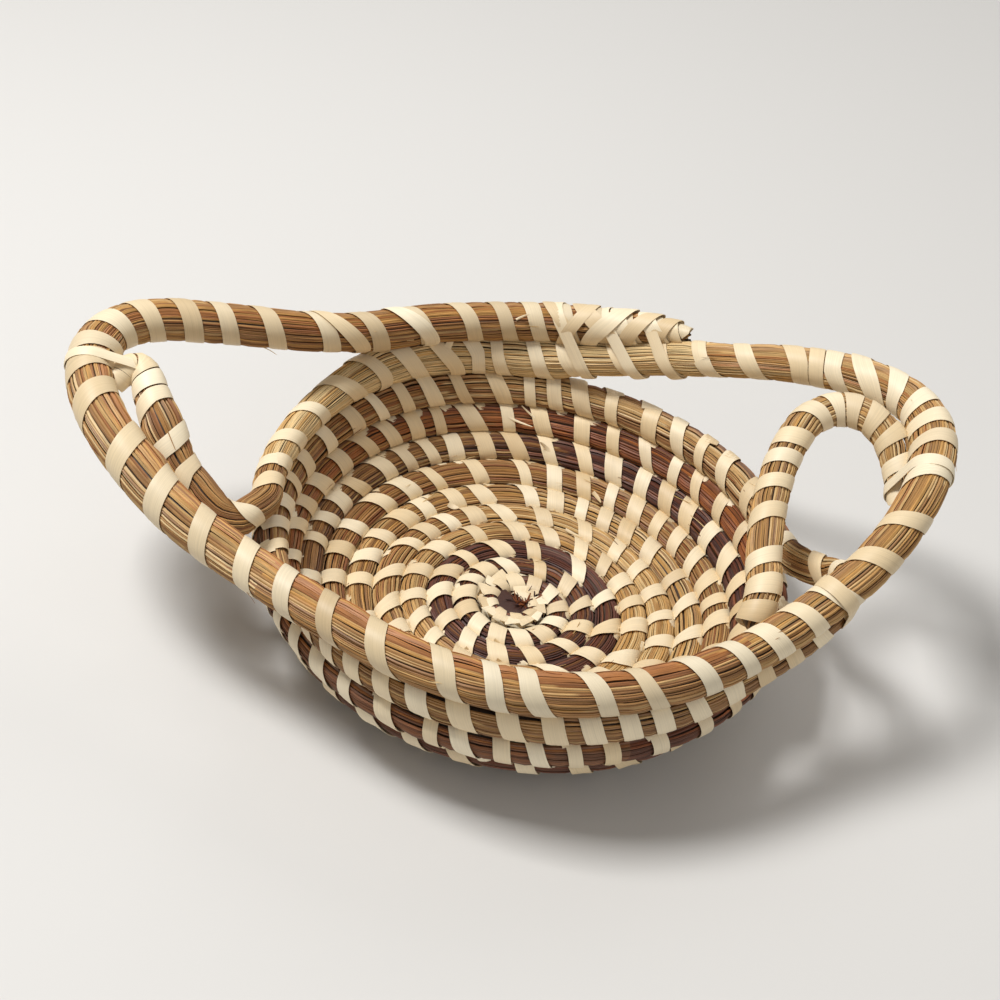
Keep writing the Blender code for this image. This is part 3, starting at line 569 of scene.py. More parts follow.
# %% Wind the rim and the curls
WRAP_PITCH = 26.0 * MM
LEAST_WRAP_PITCH = 5.0 * MM
RIM_LENGTHS = [("left_turn", 178.0), ("back_row", 54.0), ("right_ear", -42.0),
               ("rim_front", -142.0), ("left_ear", -218.0), ("back_top", None)]
LEFT_CURL_LENGTH_SHARE = 0.45
RIM_STRIP_PIXELS = {
    "left_curl": [(147, 385), (155, 404), (178, 443), (195, 467), (212, 490)],
    "back_row": [(229, 511), (250, 496), (264, 467), (279, 439), (298, 408), (325, 378),
                 (476, 358), (497, 356), (538, 354), (572, 352), (626, 350), (672, 352)],
    "right_ear": [(711, 355), (753, 358), (800, 362), (822, 363), (838, 366),
                  (900, 398), (922, 413), (930, 433), (933, 450), (924, 480), (900, 530),
                  (870, 563), (835, 597), (800, 621)],
    "rim_front": [(770, 644), (736, 660), (699, 675), (646, 690), (596, 690), (527, 685), (498, 683),
                  (449, 677), (384, 644), (333, 620), (290, 599), (249, 568)],
    "left_ear": [(206, 531), (166, 496), (134, 452), (103, 402), (90, 372), (90, 351), (116, 333), (147, 330),
                 (185, 324), (224, 326), (264, 328)],
    "back_top": [(367, 330), (468, 322), (501, 321), (535, 320)],
}
RIGHT_CURL_PIXELS = [(770, 621), (772, 595), (772, 567), (774, 520), (781, 489), (790, 465), (805, 450),
                     (820, 428), (837, 420), (857, 413), (881, 420), (896, 437), (907, 467)]


def rim_ends():
    """Walked length at which each length of the rim ends."""
    turned = rim.nearest(turn_end, high=rim.walked[-1] / 3)
    ends = {"left_curl": (0.0, LEFT_CURL_LENGTH_SHARE * turned)}
    start = ends["left_curl"][1]
    for name, degrees in RIM_LENGTHS:
        end = rim.walked[-1]
        if degrees is not None:
            end = rim.nearest(rim_curve(np.array([degrees]))[0], start)
        ends[name] = (start, end)
        start = end
    return ends


def wind(bundle, seen):
    """Turns through the strips that are seen, with even ones added where the gap is wide."""
    seen = sorted(seen)
    places, angles = [seen[0][0]], [seen[0][1]]
    for place, angle in seen[1:]:
        gap = place - places[-1]
        if gap < LEAST_WRAP_PITCH:
            continue
        extra = max(round(gap / WRAP_PITCH) - 1, 0)
        share = np.arange(1, extra + 1) / (extra + 1)
        places += list(places[-1] + share * gap) + [place]
        angles += list(angles[-1] + share * (angle - angles[-1])) + [angle]
    set_turns(bundle, places, angles)
    return len(places)


rim_lengths = rim_ends()
rim_seen = [rim.seen_at(pixel, low - RIM_STEP, high + RIM_STEP)
            for name, (low, high) in rim_lengths.items() for pixel in RIM_STRIP_PIXELS.get(name, [])]
print("strips on the rim:", wind(rim, rim_seen))
curl_seen = [right_curl.seen_at(pixel, 0, right_curl.walked[-1]) for pixel in RIGHT_CURL_PIXELS]
print("strips on the right curl:", wind(right_curl, curl_seen))

# %% [markdown]
# ## Bundles that touch
# Free bundles that lie together are sewn tight, so they flatten against each other and no light
# shows between. Each one's side is pressed out towards the other, by half the gap.

# %% Settle the bundles
leaves_wall = bowl.walked[np.searchsorted(bowl.rounds, rounds_after(BULGE_SHARES[0][0],
                                                                    bowl.rounds[-1] - 1))]
last_round_start = bowl.nearest(spiral(np.array([bowl.rounds[-1] - 1.35]))[0][0])
last_round = (bowl, last_round_start, bowl.walked[-1])
for length in ("back_row", "right_ear", "rim_front", "left_ear"):
    rim.settle(*rim_lengths[length], *last_round)
    bowl.settle(*last_round[1:], rim, *rim_lengths[length])
for one, other in (("back_top", "back_row"), ("left_curl", "left_ear"), ("left_turn", "left_ear")):
    rim.settle(*rim_lengths[one], rim, *rim_lengths[other])
    rim.settle(*rim_lengths[other], rim, *rim_lengths[one])
rim.radius = rim.radius * (1 + LEFT_CURL_SWELL * np.clip((rim_lengths["left_curl"][1] - rim.walked) / SETTLE_RAMP, 0, 1))
curl_half = (right_curl.walked[-1] / 2, right_curl.walked[-1])
right_curl.settle(*curl_half, rim, *rim_lengths["right_ear"])
rim.settle(*rim_lengths["right_ear"], right_curl, *curl_half)
print("sides pressed out on the rim:", len(rim.bumps))

# %% [markdown]
# ## From arrays to a mesh
# Every blade and strip is the same kind of surface: rings of corners along a line. So one helper
# turns an array with the shape (tubes, steps, corners, 3) into quads and end caps, with no loop
# over vertices. It also keeps two things for the materials: a UV map in metres along the blade,
# and a colour for each point in an attribute called tint.


# %% Tubes to meshes
class Weave:
    """Collects sets of tubes and makes one mesh of them."""

    def __init__(self):
        self.points, self.tints, self.corners, self.totals, self.uvs = [], [], [], [], []
        self.count = 0

    def add(self, rings, along, tint):
        """rings has the shape tubes, steps, corners, 3. along and tint are per tube and step."""
        tubes, steps, corners = rings.shape[:3]
        index = self.count + np.arange(tubes * steps * corners).reshape(tubes, steps, corners)
        self.count += tubes * steps * corners
        self.points.append(rings.reshape(-1, 3))
        tint = np.broadcast_to(tint[:, :, None], (tubes, steps, corners, 3)).reshape(-1, 3)
        self.tints.append(tint)
        after = np.roll(index, -1, axis=2)
        quads = np.stack([index[:, :-1], after[:, :-1], after[:, 1:], index[:, 1:]], -1)
        across = (np.arange(corners) / corners)[None, None] + np.arange(tubes)[:, None, None]
        across = np.broadcast_to(across, (tubes, steps, corners))
        along = np.broadcast_to(along[:, :, None], (tubes, steps, corners))
        side = 1 / corners
        u = np.stack([along[:, :-1], along[:, :-1], along[:, 1:], along[:, 1:]], -1)
        v = np.stack([across[:, :-1], across[:, :-1] + side, across[:, 1:] + side, across[:, 1:]], -1)
        self.corners.append(quads.reshape(-1))
        self.totals.append(np.full(quads.size // 4, 4))
        self.uvs.append(np.stack([u, v], -1).reshape(-1, 2))
        for cap, end in ((index[:, 0, ::-1], 0), (index[:, -1], -1)):
            self.corners.append(cap.reshape(-1))
            self.totals.append(np.full(tubes, corners))
            self.uvs.append(np.stack([along[:, end], across[:, end]], -1).reshape(-1, 2))

    def make(self, name, finish, slot, *nodes):
        """One object of all the tubes, which rides on the body and stands for CAD nodes."""
        points = np.concatenate(self.points)
        low = points[:, 2] < REST_DEPTH
        points[low, 2] = REST_DEPTH * np.exp((points[low, 2] - REST_DEPTH) / REST_DEPTH)
        tints = np.concatenate(self.tints)
        corners, totals = np.concatenate(self.corners), np.concatenate(self.totals)
        mesh = bpy.data.meshes.new(name)
        mesh.vertices.add(len(points))
        mesh.vertices.foreach_set("co", points.astype(np.float32).reshape(-1))
        mesh.loops.add(len(corners))
        mesh.loops.foreach_set("vertex_index", corners.astype(np.int32))
        mesh.polygons.add(len(totals))
        starts = np.concatenate([[0], np.cumsum(totals)[:-1]])
        mesh.polygons.foreach_set("loop_start", starts.astype(np.int32))
        mesh.update(calc_edges=True)
        uv = mesh.uv_layers.new(name="run")
        uv.data.foreach_set("uv", np.concatenate(self.uvs).astype(np.float32).reshape(-1))
        colour = mesh.color_attributes.new("tint", "FLOAT_COLOR", "POINT")
        rgba = np.concatenate([tints, np.ones((len(tints), 1))], -1)
        colour.data.foreach_set("color", rgba.astype(np.float32).reshape(-1))
        mesh.polygons.foreach_set("use_smooth", np.ones(len(totals), bool))
        mesh.set_sharp_from_angle(angle=SHARP_EDGE)
        mesh.validate()
        mesh.materials.append(finish)
        piece = bpy.data.objects.new(name, mesh)
        bpy.context.scene.collection.objects.link(piece)
        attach(piece, "root")
        if nodes:
            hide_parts(*nodes)
        triangles = int((totals - 2).sum())
        TRIANGLES[name] = triangles
        print("%s: %d triangles" % (name, triangles))
        return piece


SHARP_EDGE = math.radians(62.0)
REST_DEPTH = 0.5 * MM
TRIANGLES = {}

# %% [markdown]
# ## Blades of grass
# A bundle holds about a hundred blades, but only the outer ones show. They lie side by side round
# the bundle, each with its own thickness, depth and slow wander, over a dark core that closes the
# chinks between them with painted shade. Under a strip they are pulled in by the strip's thickness
# and a little more.

# %% Strands of a bundle
STRAND_CORNERS = 5
CORE_CORNERS = 14
CORE_DEPTH = 0.95 * MM
PINCH_DEPTH = 0.34 * MM
PINCH_HALF_WIDTH = 2.4 * MM
PINCH_EDGE = 3.0 * MM
SWELL = 0.06 * MM
FRAY_LENGTH = 30 * MM
FRAY_REACH = 7 * MM
END_LENGTH = 4 * MM
WANDER_WAVES = 3
# Near black: painted shade, for the chinks between blades and the seams between rows and bundles.
PAINTED_SHADE_TINT = np.array([0.060, 0.030, 0.014])


def waves(random, count, walked, longest, shortest):
    """Slow random waves of about unit size: a sum of sines with random length and phase."""
    length = np.exp(random.uniform(np.log(shortest), np.log(longest), (count, WANDER_WAVES, 1)))
    phase = random.uniform(0, 2 * math.pi, (count, WANDER_WAVES, 1))
    return np.sin(walked[None, None] * 2 * math.pi / length + phase).sum(1) / math.sqrt(WANDER_WAVES / 2)


def pinched(bundle, walked, angle):
    """How far a blade is pulled in: fully under a strip, and swollen outward between two."""
    off = off_strip(bundle, walked, angle)
    rise = np.clip((off - PINCH_HALF_WIDTH) / PINCH_EDGE, 0, 1)
    rise = rise * rise * (3 - 2 * rise)
    return PINCH_DEPTH * (1 - rise) - SWELL * rise


def closing(bundle, inside):
    """A share that falls to nothing at both ends, as the square root of the way to the end."""
    to_end = np.minimum(bundle.walked, bundle.walked[-1] - bundle.walked)[inside]
    return np.sqrt(np.clip(to_end / END_LENGTH, 0.01, 1))


class Strands:
    """All the outer blades of one bundle, worked out once for its whole length."""

    def __init__(self, bundle, count, seed):
        random = np.random.default_rng(seed)
        walked = bundle.walked
        thick = random.lognormal(0, 0.34, count)
        thick = thick / thick.sum()
        angle = 2 * math.pi * (np.cumsum(thick) - thick / 2)
        drift = waves(random, count, walked, 320 * MM, 90 * MM) * 0.22 * thick[:, None] * 2 * math.pi
        self.bundle, self.walked = bundle, walked
        self.angle = angle[:, None] + drift
        girth = 2 * math.pi * bundle.radius[None]
        swell = 1 + 0.09 * waves(random, count, walked, 120 * MM, 40 * MM)
        self.half_width = girth * thick[:, None] / 2 * 1.02 * swell
        self.half_depth = np.minimum(self.half_width, 0.75 * MM)
        rough = 0.07 * MM * waves(random, count, walked, 160 * MM, 40 * MM)
        sunk = np.abs(random.normal(0, 0.21, count))[:, None] * MM
        pinch = pinched(bundle, walked[None], self.angle)
        taper = np.clip(bundle.radius / (4 * MM), 0.3, 1)[None]
        self.reach = bundle.reach(walked[None], self.angle) + 0.20 * MM - self.half_depth
        self.reach = (self.reach - (pinch + rough + sunk) * taper) * closing(bundle, slice(None))[None]
        self.random_share = random.random(count)
        self.shade = 1 + 0.07 * waves(random, count, walked, 70 * MM, 12 * MM)
        near_end = np.clip((walked - walked[-1] + FRAY_LENGTH) / FRAY_LENGTH, 0, 1)
        near_start = np.clip(1 - walked / FRAY_LENGTH, 0, 1)
        short = random.random(count)[:, None] * FRAY_REACH
        self.slid = walked[None] + short * (near_start ** 2 - near_end ** 2)[None]

    def rings(self, inside):
        """Corners of every blade: an ellipse round its line, flat across the bundle's radius."""
        bundle = self.bundle
        angle = self.angle[:, inside]
        spoke = (np.cos(angle)[..., None] * bundle.first[inside][None]
                 + np.sin(angle)[..., None] * bundle.second[inside][None])
        side = np.cross(bundle.along[inside][None], spoke)
        line = bundle.at(self.slid[:, inside], angle, self.reach[:, inside])
        turn = np.arange(STRAND_CORNERS) * 2 * math.pi / STRAND_CORNERS
        deep = (self.half_depth[:, inside][..., None] * np.cos(turn))[..., None] * spoke[:, :, None]
        wide = (self.half_width[:, inside][..., None] * np.sin(turn))[..., None] * side[:, :, None]
        return line[:, :, None] + deep + wide


def core_rings(bundle, inside):
    """A plain dark tube under the blades, painted the shade that shows in the chinks between them."""
    turn = np.arange(CORE_CORNERS) * 2 * math.pi / CORE_CORNERS
    spoke = (np.cos(turn)[:, None] * bundle.first[inside][:, None]
             + np.sin(turn)[:, None] * bundle.second[inside][:, None])
    reach = np.maximum(bundle.radius[inside] - CORE_DEPTH, bundle.radius[inside] * 0.4)
    reach = reach * closing(bundle, inside)
    return (bundle.middle[inside][:, None] + reach[:, None, None] * spoke)[None]


# %% [markdown]
# ## Colours of the grass
# Sweetgrass dries to straw and gold, and pine needles to red-brown and near black. Each length of
# a bundle has its own mix, given as colours and how often each turns up, and a blade takes one of
# them. Some lengths also have a streak of another colour on one side, where the maker laid in a
# few needles of another batch. The colours are linear, as the shader reads them.


# %% Grass mixes
def linear(red, green, blue):
    """A colour of a screen, 0 to 255, as the light that it stands for."""
    screen = np.array([red, green, blue]) / 255
    return np.where(screen <= 0.04045, screen / 12.92, ((screen + 0.055) / 1.055) ** 2.4)


STRAW = linear(205, 168, 110)
PALE_STRAW = linear(228, 200, 148)
GOLD = linear(200, 150, 80)
TAN = linear(172, 126, 72)
BROWN_TAN = linear(132, 88, 48)
RED_BROWN = linear(138, 78, 42)
ORANGE_BROWN = linear(172, 104, 50)
DEEP_RED = linear(98, 52, 36)
DARK_BROWN = linear(74, 44, 30)
DARK_PURPLE = linear(62, 38, 38)
MIXES = {
    "start": [(DEEP_RED, 5), (DARK_PURPLE, 3), (RED_BROWN, 3), (DARK_BROWN, 2), (BROWN_TAN, 1)],
    "golden_floor": [(STRAW, 6), (TAN, 4), (GOLD, 3), (BROWN_TAN, 2), (PALE_STRAW, 3)],
    "brown_floor": [(TAN, 6), (STRAW, 4), (BROWN_TAN, 4), (RED_BROWN, 3), (GOLD, 1)],
    "dark_wall": [(DARK_PURPLE, 4), (DARK_BROWN, 4), (DEEP_RED, 4), (RED_BROWN, 2), (BROWN_TAN, 2)],
    "russet_wall": [(RED_BROWN, 5), (DEEP_RED, 2), (ORANGE_BROWN, 5), (BROWN_TAN, 1), (DARK_BROWN, 1)],
    "tan_wall": [(STRAW, 5), (TAN, 5), (BROWN_TAN, 3), (PALE_STRAW, 3)],
    "last_row": [(STRAW, 5), (TAN, 5), (GOLD, 1), (BROWN_TAN, 3), (PALE_STRAW, 2)],
    "left_curl": [(STRAW, 3), (TAN, 5), (PALE_STRAW, 1), (BROWN_TAN, 4), (RED_BROWN, 1)],
    "left_turn": [(STRAW, 3), (TAN, 5), (GOLD, 2), (RED_BROWN, 1), (BROWN_TAN, 3)],
    "back_row": [(PALE_STRAW, 9), (STRAW, 4), (TAN, 1), (GOLD, 1)],
    "right_ear": [(STRAW, 5), (TAN, 5), (PALE_STRAW, 2), (GOLD, 3), (BROWN_TAN, 2)],
    "rim_front": [(STRAW, 3), (TAN, 6), (GOLD, 2), (BROWN_TAN, 3)],
    "left_ear": [(STRAW, 4), (TAN, 5), (PALE_STRAW, 2), (BROWN_TAN, 4), (RED_BROWN, 1)],
    "back_top": [(TAN, 5), (STRAW, 2), (BROWN_TAN, 5), (GOLD, 2), (RED_BROWN, 2)],
    "right_curl": [(STRAW, 4), (GOLD, 3), (PALE_STRAW, 2), (TAN, 4), (BROWN_TAN, 3)],
}
CALM = 0.35
LEFT_SIDE = math.radians(190.0)
LEFT_MIXES = {
    "golden_floor": [(TAN, 6), (STRAW, 4), (BROWN_TAN, 4), (GOLD, 2), (RED_BROWN, 1)],
    "dark_wall": [(BROWN_TAN, 4), (TAN, 5), (STRAW, 2), (DARK_BROWN, 1), (RED_BROWN, 3)],
    "russet_wall": [(ORANGE_BROWN, 5), (RED_BROWN, 3), (TAN, 4), (GOLD, 2), (BROWN_TAN, 2)],
    "tan_wall": [(TAN, 6), (STRAW, 4), (PALE_STRAW, 1), (BROWN_TAN, 3), (ORANGE_BROWN, 1)],
}
# Darker mixes for the blades on the outside of the bowl's rows: partly the grass's own colour, partly painted
# shade of the outer wall under the rim.
OUTSIDE_MIXES_WITH_SHADE = {
    "brown_floor": [(DEEP_RED, 3), (DARK_BROWN, 3), (BROWN_TAN, 3)],
    "dark_wall": [(DARK_BROWN, 5), (DEEP_RED, 4), (RED_BROWN, 2)],
    "russet_wall": [(DEEP_RED, 5), (DARK_BROWN, 4), (RED_BROWN, 3)],
    "tan_wall": [(RED_BROWN, 5), (DEEP_RED, 4), (DARK_BROWN, 2), (ORANGE_BROWN, 1)],
    "last_row": [(TAN, 4), (BROWN_TAN, 5), (STRAW, 2)],
}
STREAKS = {
    "right_ear": (60, 24, [ORANGE_BROWN, GOLD, TAN]),
    "rim_front": (28, 44, [ORANGE_BROWN, ORANGE_BROWN, GOLD, RED_BROWN]),
    "left_ear": (26, 34, [ORANGE_BROWN, GOLD, RED_BROWN]),
    "back_top": (26, 34, [ORANGE_BROWN, GOLD, RED_BROWN]),
}
BLADE_LENGTH = 150 * MM


def pick(mix, lot):
    """The colour of a mix that a number from 0 to 1 falls on."""
    colours = np.array([colour for colour, _ in mix])
    weights = np.cumsum([weight for _, weight in mix]) / sum(weight for _, weight in mix)
    return colours[np.minimum(np.searchsorted(weights, lot), len(mix) - 1)]


def strand_tints(strands, inside, name, streak):
    """A colour for each blade and step: one of the mix, changing where one blade takes over."""
    count = len(strands.angle)
    blade = np.floor(strands.walked[inside][None] / BLADE_LENGTH + strands.random_share[:, None] * 7)
    lot = np.abs(np.sin(blade * 12.9898 + np.arange(count)[:, None] * 78.233) * 43758.5453) % 1
    tint = pick(MIXES[name], lot)
    if name in LEFT_MIXES:
        middle = strands.bundle.middle[inside]
        facing = np.cos(np.arctan2(middle[:, 1], middle[:, 0]) - LEFT_SIDE)
        other = (lot * 7.31) % 1 < np.clip(0.5 + 1.6 * facing, 0, 1)[None]
        tint = np.where(other[..., None], pick(LEFT_MIXES[name], lot), tint)
    if name == "left_ear":
        way = np.linspace(0, 1, len(inside))[None]
        tint = np.where(((lot * 5.17) % 1 < 2 * way - 0.8)[..., None], pick(MIXES["back_top"], lot), tint)
    # Blades on the outside take the darker mixes, partly as painted shade.
    if name in OUTSIDE_MIXES_WITH_SHADE:
        outside = np.sin(strands.angle[:, inside]) < -0.1
        tint = np.where(outside[..., None], pick(OUTSIDE_MIXES_WITH_SHADE[name], lot), tint)
    if streak:
        middle, half, shades = streak
        off = np.degrees(strands.angle[:, inside] % (2 * math.pi)) - middle
        off = np.abs((off + 180) % 360 - 180)
        shade = np.array(shades)[np.floor(lot * len(shades)).astype(int)]
        tint = np.where((off < half * (0.75 + 0.5 * lot))[..., None], shade, tint)
    tint = tint * (1 - CALM) + CALM * tint.mean(0, keepdims=True)
    return tint * strands.shade[:, inside][..., None]


# %% [markdown]
# ## The finish of the grass
# A dry blade is satin, with fine lines along it and now and then a darker fleck. Its colour comes
# from the tint attribute; a noise drawn out along the UV's length gives the lines, both as a
# shade and as a bump. The palm leaf wants the same lines, so they are a node group that both
# materials place with their own numbers.


# %% Fibre lines as a node group
def add_node(tree, kind, **values):
    """A node with some of its inputs set by name."""
    node = tree.nodes.new(kind)
    for key, value in values.items():
        node.inputs[key.replace("_", " ")].default_value = value
    return node


def fibre_group():
    """Noise in the UV map, stretched along the run, as a shade and a height."""
    group = bpy.data.node_groups.new("fibre_lines", "ShaderNodeTree")
    face = group.interface
    face.new_socket("Lines Across", in_out="INPUT", socket_type="NodeSocketFloat")
    face.new_socket("Lines Along", in_out="INPUT", socket_type="NodeSocketFloat")
    face.new_socket("Fleck", in_out="INPUT", socket_type="NodeSocketFloat")
    face.new_socket("Shade", in_out="OUTPUT", socket_type="NodeSocketFloat")
    face.new_socket("Height", in_out="OUTPUT", socket_type="NodeSocketFloat")
    given = group.nodes.new("NodeGroupInput")
    made = group.nodes.new("NodeGroupOutput")
    uv = group.nodes.new("ShaderNodeUVMap")
    uv.uv_map = "run"
    split = group.nodes.new("ShaderNodeSeparateXYZ")
    group.links.new(uv.outputs["UV"], split.inputs[0])
    scaled = []
    for axis, lines in (("X", "Lines Along"), ("Y", "Lines Across")):
        times = group.nodes.new("ShaderNodeMath")
        times.operation = "MULTIPLY"
        group.links.new(split.outputs[axis], times.inputs[0])
        group.links.new(given.outputs[lines], times.inputs[1])
        scaled.append(times)
    joined = group.nodes.new("ShaderNodeCombineXYZ")
    group.links.new(scaled[0].outputs[0], joined.inputs["X"])
    group.links.new(scaled[1].outputs[0], joined.inputs["Y"])
    lines = add_node(group, "ShaderNodeTexNoise", Scale=1.0, Detail=3.0, Roughness=0.6)
    flecks = add_node(group, "ShaderNodeTexNoise", Scale=0.31, Detail=2.0, Roughness=0.5)
    group.links.new(joined.outputs[0], lines.inputs["Vector"])
    group.links.new(joined.outputs[0], flecks.inputs["Vector"])
    deep = add_node(group, "ShaderNodeMapRange")
    deep.inputs["From Min"].default_value = 0.56
    deep.inputs["From Max"].default_value = 0.72
    group.links.new(flecks.outputs["Fac"], deep.inputs["Value"])
    weighed = group.nodes.new("ShaderNodeMath")
    weighed.operation = "MULTIPLY"
    group.links.new(deep.outputs["Result"], weighed.inputs[0])
    group.links.new(given.outputs["Fleck"], weighed.inputs[1])
    shade = group.nodes.new("ShaderNodeMath")
    shade.operation = "SUBTRACT"
    group.links.new(lines.outputs["Fac"], shade.inputs[0])
    group.links.new(weighed.outputs[0], shade.inputs[1])
    group.links.new(shade.outputs[0], made.inputs["Shade"])
    group.links.new(lines.outputs["Fac"], made.inputs["Height"])
    return group


FIBRE_LINES = fibre_group()


def fibre_material(name, across, along, fleck, dark, light, roughness, bump, coat):
    """The tint attribute times a shade between dark and light, with the lines as a bump."""
    made = bpy.data.materials.new(name)
    made.use_nodes = True
    tree = made.node_tree
    shader = tree.nodes["Principled BSDF"]
    lines = tree.nodes.new("ShaderNodeGroup")
    lines.node_tree = FIBRE_LINES
    for key, value in (("Lines Across", across), ("Lines Along", along), ("Fleck", fleck)):
        lines.inputs[key].default_value = value
    tint = tree.nodes.new("ShaderNodeAttribute")
    tint.attribute_name = "tint"
    spread = add_node(tree, "ShaderNodeMapRange")
    for key, value in (("From Min", 0.3), ("From Max", 0.7), ("To Min", dark), ("To Max", light)):
        spread.inputs[key].default_value = value
    tree.links.new(lines.outputs["Shade"], spread.inputs["Value"])
    times = tree.nodes.new("ShaderNodeVectorMath")
    times.operation = "SCALE"
    tree.links.new(tint.outputs["Color"], times.inputs[0])
    tree.links.new(spread.outputs["Result"], times.inputs["Scale"])
    tree.links.new(times.outputs[0], shader.inputs["Base Color"])
    dull = add_node(tree, "ShaderNodeMapRange")
    for key, value in (("To Min", roughness + 0.12), ("To Max", roughness - 0.08)):
        dull.inputs[key].default_value = value
    tree.links.new(lines.outputs["Shade"], dull.inputs["Value"])
    tree.links.new(dull.outputs["Result"], shader.inputs["Roughness"])
    raised = add_node(tree, "ShaderNodeBump", Strength=bump, Distance=0.12 * MM)
    tree.links.new(lines.outputs["Height"], raised.inputs["Height"])
    tree.links.new(raised.outputs["Normal"], shader.inputs["Normal"])
    shader.inputs["Coat Weight"].default_value = coat
    shader.inputs["Coat Roughness"].default_value = 0.45
    return made


GRASS_FINISH = fibre_material("dry_grass", 9.0, 160.0, 0.35, 0.72, 1.22, 0.52, 0.5, 0.05)
PALM_FINISH = fibre_material("palm_leaf", 60.0, 40.0, 0.16, 0.90, 1.05, 0.50, 0.28, 0.06)

# %% [markdown]
# ## Dress each length of the coil
# Now each length of the model gets its blades. The bowl's lengths end at a number of rounds, and
# the rim's at a bearing, just as in the model, and each piece stands for the model's solid.

# %% Blades of the bowl, the rim and the right curl
BOWL_ENDS = [("start", 3.9), ("golden_floor", 6.9), ("brown_floor", 7.9), ("dark_wall", 8.9),
             ("russet_wall", 9.9), ("tan_wall", 10.72), ("last_row", None)]
BOWL_BLADES, RIM_BLADES, CURL_BLADES = 40, 60, 54
SLOTS = {"start": "russet", "golden_floor": "golden", "brown_floor": "russet", "dark_wall": "dark",
         "russet_wall": "russet"}


def bowl_lengths():
    """Walked length at which each length of the bowl's bundle starts and ends."""
    lengths, start = {}, 0.0
    for name, last_round in BOWL_ENDS:
        end = bowl.walked[-1]
        if last_round is not None:
            point = spiral(np.array([last_round]))[0][0]
            end = bowl.nearest(point)
        lengths[name] = (start, end)
        start = end
    return lengths


def dress(name, strands, start, end):
    """The core and the blades of one length."""
    bundle = strands.bundle
    inside = np.flatnonzero((bundle.walked >= start - STEP / 2) & (bundle.walked <= end + STEP / 2))
    weave = Weave()
    core = np.broadcast_to(PAINTED_SHADE_TINT, (1, len(inside), 3))
    weave.add(core_rings(bundle, inside), bundle.walked[inside][None], core)
    tint = strand_tints(strands, inside, name, STREAKS.get(name))
    offset = strands.random_share[:, None] * 3
    weave.add(strands.rings(inside), bundle.walked[inside][None] + offset, tint)
    return weave.make(name + "_grass", GRASS_FINISH, SLOTS.get(name, "sweetgrass"), name + "_coil")


bowl_strands = Strands(bowl, BOWL_BLADES, 11)
rim_strands = Strands(rim, RIM_BLADES, 12)
curl_strands = Strands(right_curl, CURL_BLADES, 13)
bowl_spans = bowl_lengths()
for name, (start, end) in bowl_spans.items():
    dress(name, bowl_strands, start, end)
for name, (start, end) in rim_lengths.items():
    dress(name, rim_strands, start, end)
dress("right_curl", curl_strands, 0, right_curl.walked[-1])

# %% [markdown]
# ## Strips of palm leaf on the free bundles
# A strip is a thin band with a crowned face. Its line follows the turns function, and its width is
# laid square to that line on the bundle's surface, so it leans as much as it winds. The width and
# the shade change slowly from one turn to the next, because every strip was torn by hand.

# %% Wind the strips
STRIP_WIDTH = 6.0 * MM
STRIP_THICKNESS = 0.34 * MM
STRIP_LIFT = 0.36 * MM
TURN_STEPS = 28
STRIP_SECTION = [(1.0, -0.45), (0.62, -0.06), (0.0, 0.0), (-0.62, -0.06), (-1.0, -0.45),
                 (-0.97, -1.0), (0.0, -0.9), (0.97, -1.0)]
PALM_LIGHT = linear(246, 232, 202)
PALM_MID = linear(232, 209, 168)
PALM_DARK = linear(196, 164, 114)
WIDTH_SHARES = {"left_ear": 1.12, "rim_front": 0.92, "left_curl": 0.95, "back_top": 1.02,
                "right_curl": 1.0, "left_turn": 0.95, "knot": 0.72}
# Whole lengths of strip darkened as painted shade, where the strips lie in partial shadow, most of all on the
# front rim.
PAINTED_SHADE_SHARES = {"rim_front": 0.84, "left_ear": 0.92, "back_top": 0.86}


def strip_rings(bundle, turns, width):
    """Corners of a band along the turns: offsets across it run along and round the bundle."""
    walked = walked_at(bundle, turns)
    angle = 2 * math.pi * turns
    radius = bundle.radius_at(walked)
    pitch = pitch_at(bundle, turns)
    girth = 2 * math.pi * radius
    slant = np.hypot(pitch, girth)
    across, height = np.array(STRIP_SECTION).T
    side = width[:, None] / 2 * across[None]
    place = walked[:, None] + side * (girth / slant)[:, None]
    angle = angle[:, None] - side * (pitch / slant / radius)[:, None]
    reach = bundle.reach(place, angle) + STRIP_LIFT + height[None] * STRIP_THICKNESS
    return bundle.at(place, angle, reach)


def palm_tints(random, shape):
    """Random shades of palm leaf: mostly between the light and the middle one, a few darker."""
    tone, warm = random.random(shape)[..., None], random.random(shape)[..., None] ** 3
    return (PALM_MID * (1 - tone) + PALM_LIGHT * tone) * (1 - 0.6 * warm) + PALM_DARK * 0.6 * warm


def wind_strip(name, bundle, start, end, seed, nodes=()):
    """One unbroken strip from start to end of a length."""
    random = np.random.default_rng(seed)
    low, high = turns_at(bundle, start), turns_at(bundle, end)
    turns = np.linspace(low, high, max(round((high - low) * TURN_STEPS), 4))
    knots = np.arange(math.floor(low) - 1, math.ceil(high) + 2)
    share = np.interp(turns, knots, random.uniform(0.86, 1.16, len(knots)))
    colours = palm_tints(random, len(knots))
    length = name.replace("_strips", "")
    tint = np.stack([np.interp(turns, knots, colours[:, k]) for k in range(3)], -1)
    # Painted shade: the strips of some lengths are darkened as a whole.
    tint = tint * PAINTED_SHADE_SHARES.get(length, 1.0)
    width = share * STRIP_WIDTH * WIDTH_SHARES.get(length, 1.0)
    width = np.minimum(width, 0.97 * pitch_at(bundle, turns))
    weave = Weave()
    girth = 2 * math.pi * bundle.radius_at(walked_at(bundle, turns))
    along = np.concatenate([[0], np.cumsum(np.diff(turns) * girth[1:])])
    weave.add(strip_rings(bundle, turns, width)[None], along[None], tint[None])
    return weave.make(name, PALM_FINISH, "palm_leaf", *nodes)


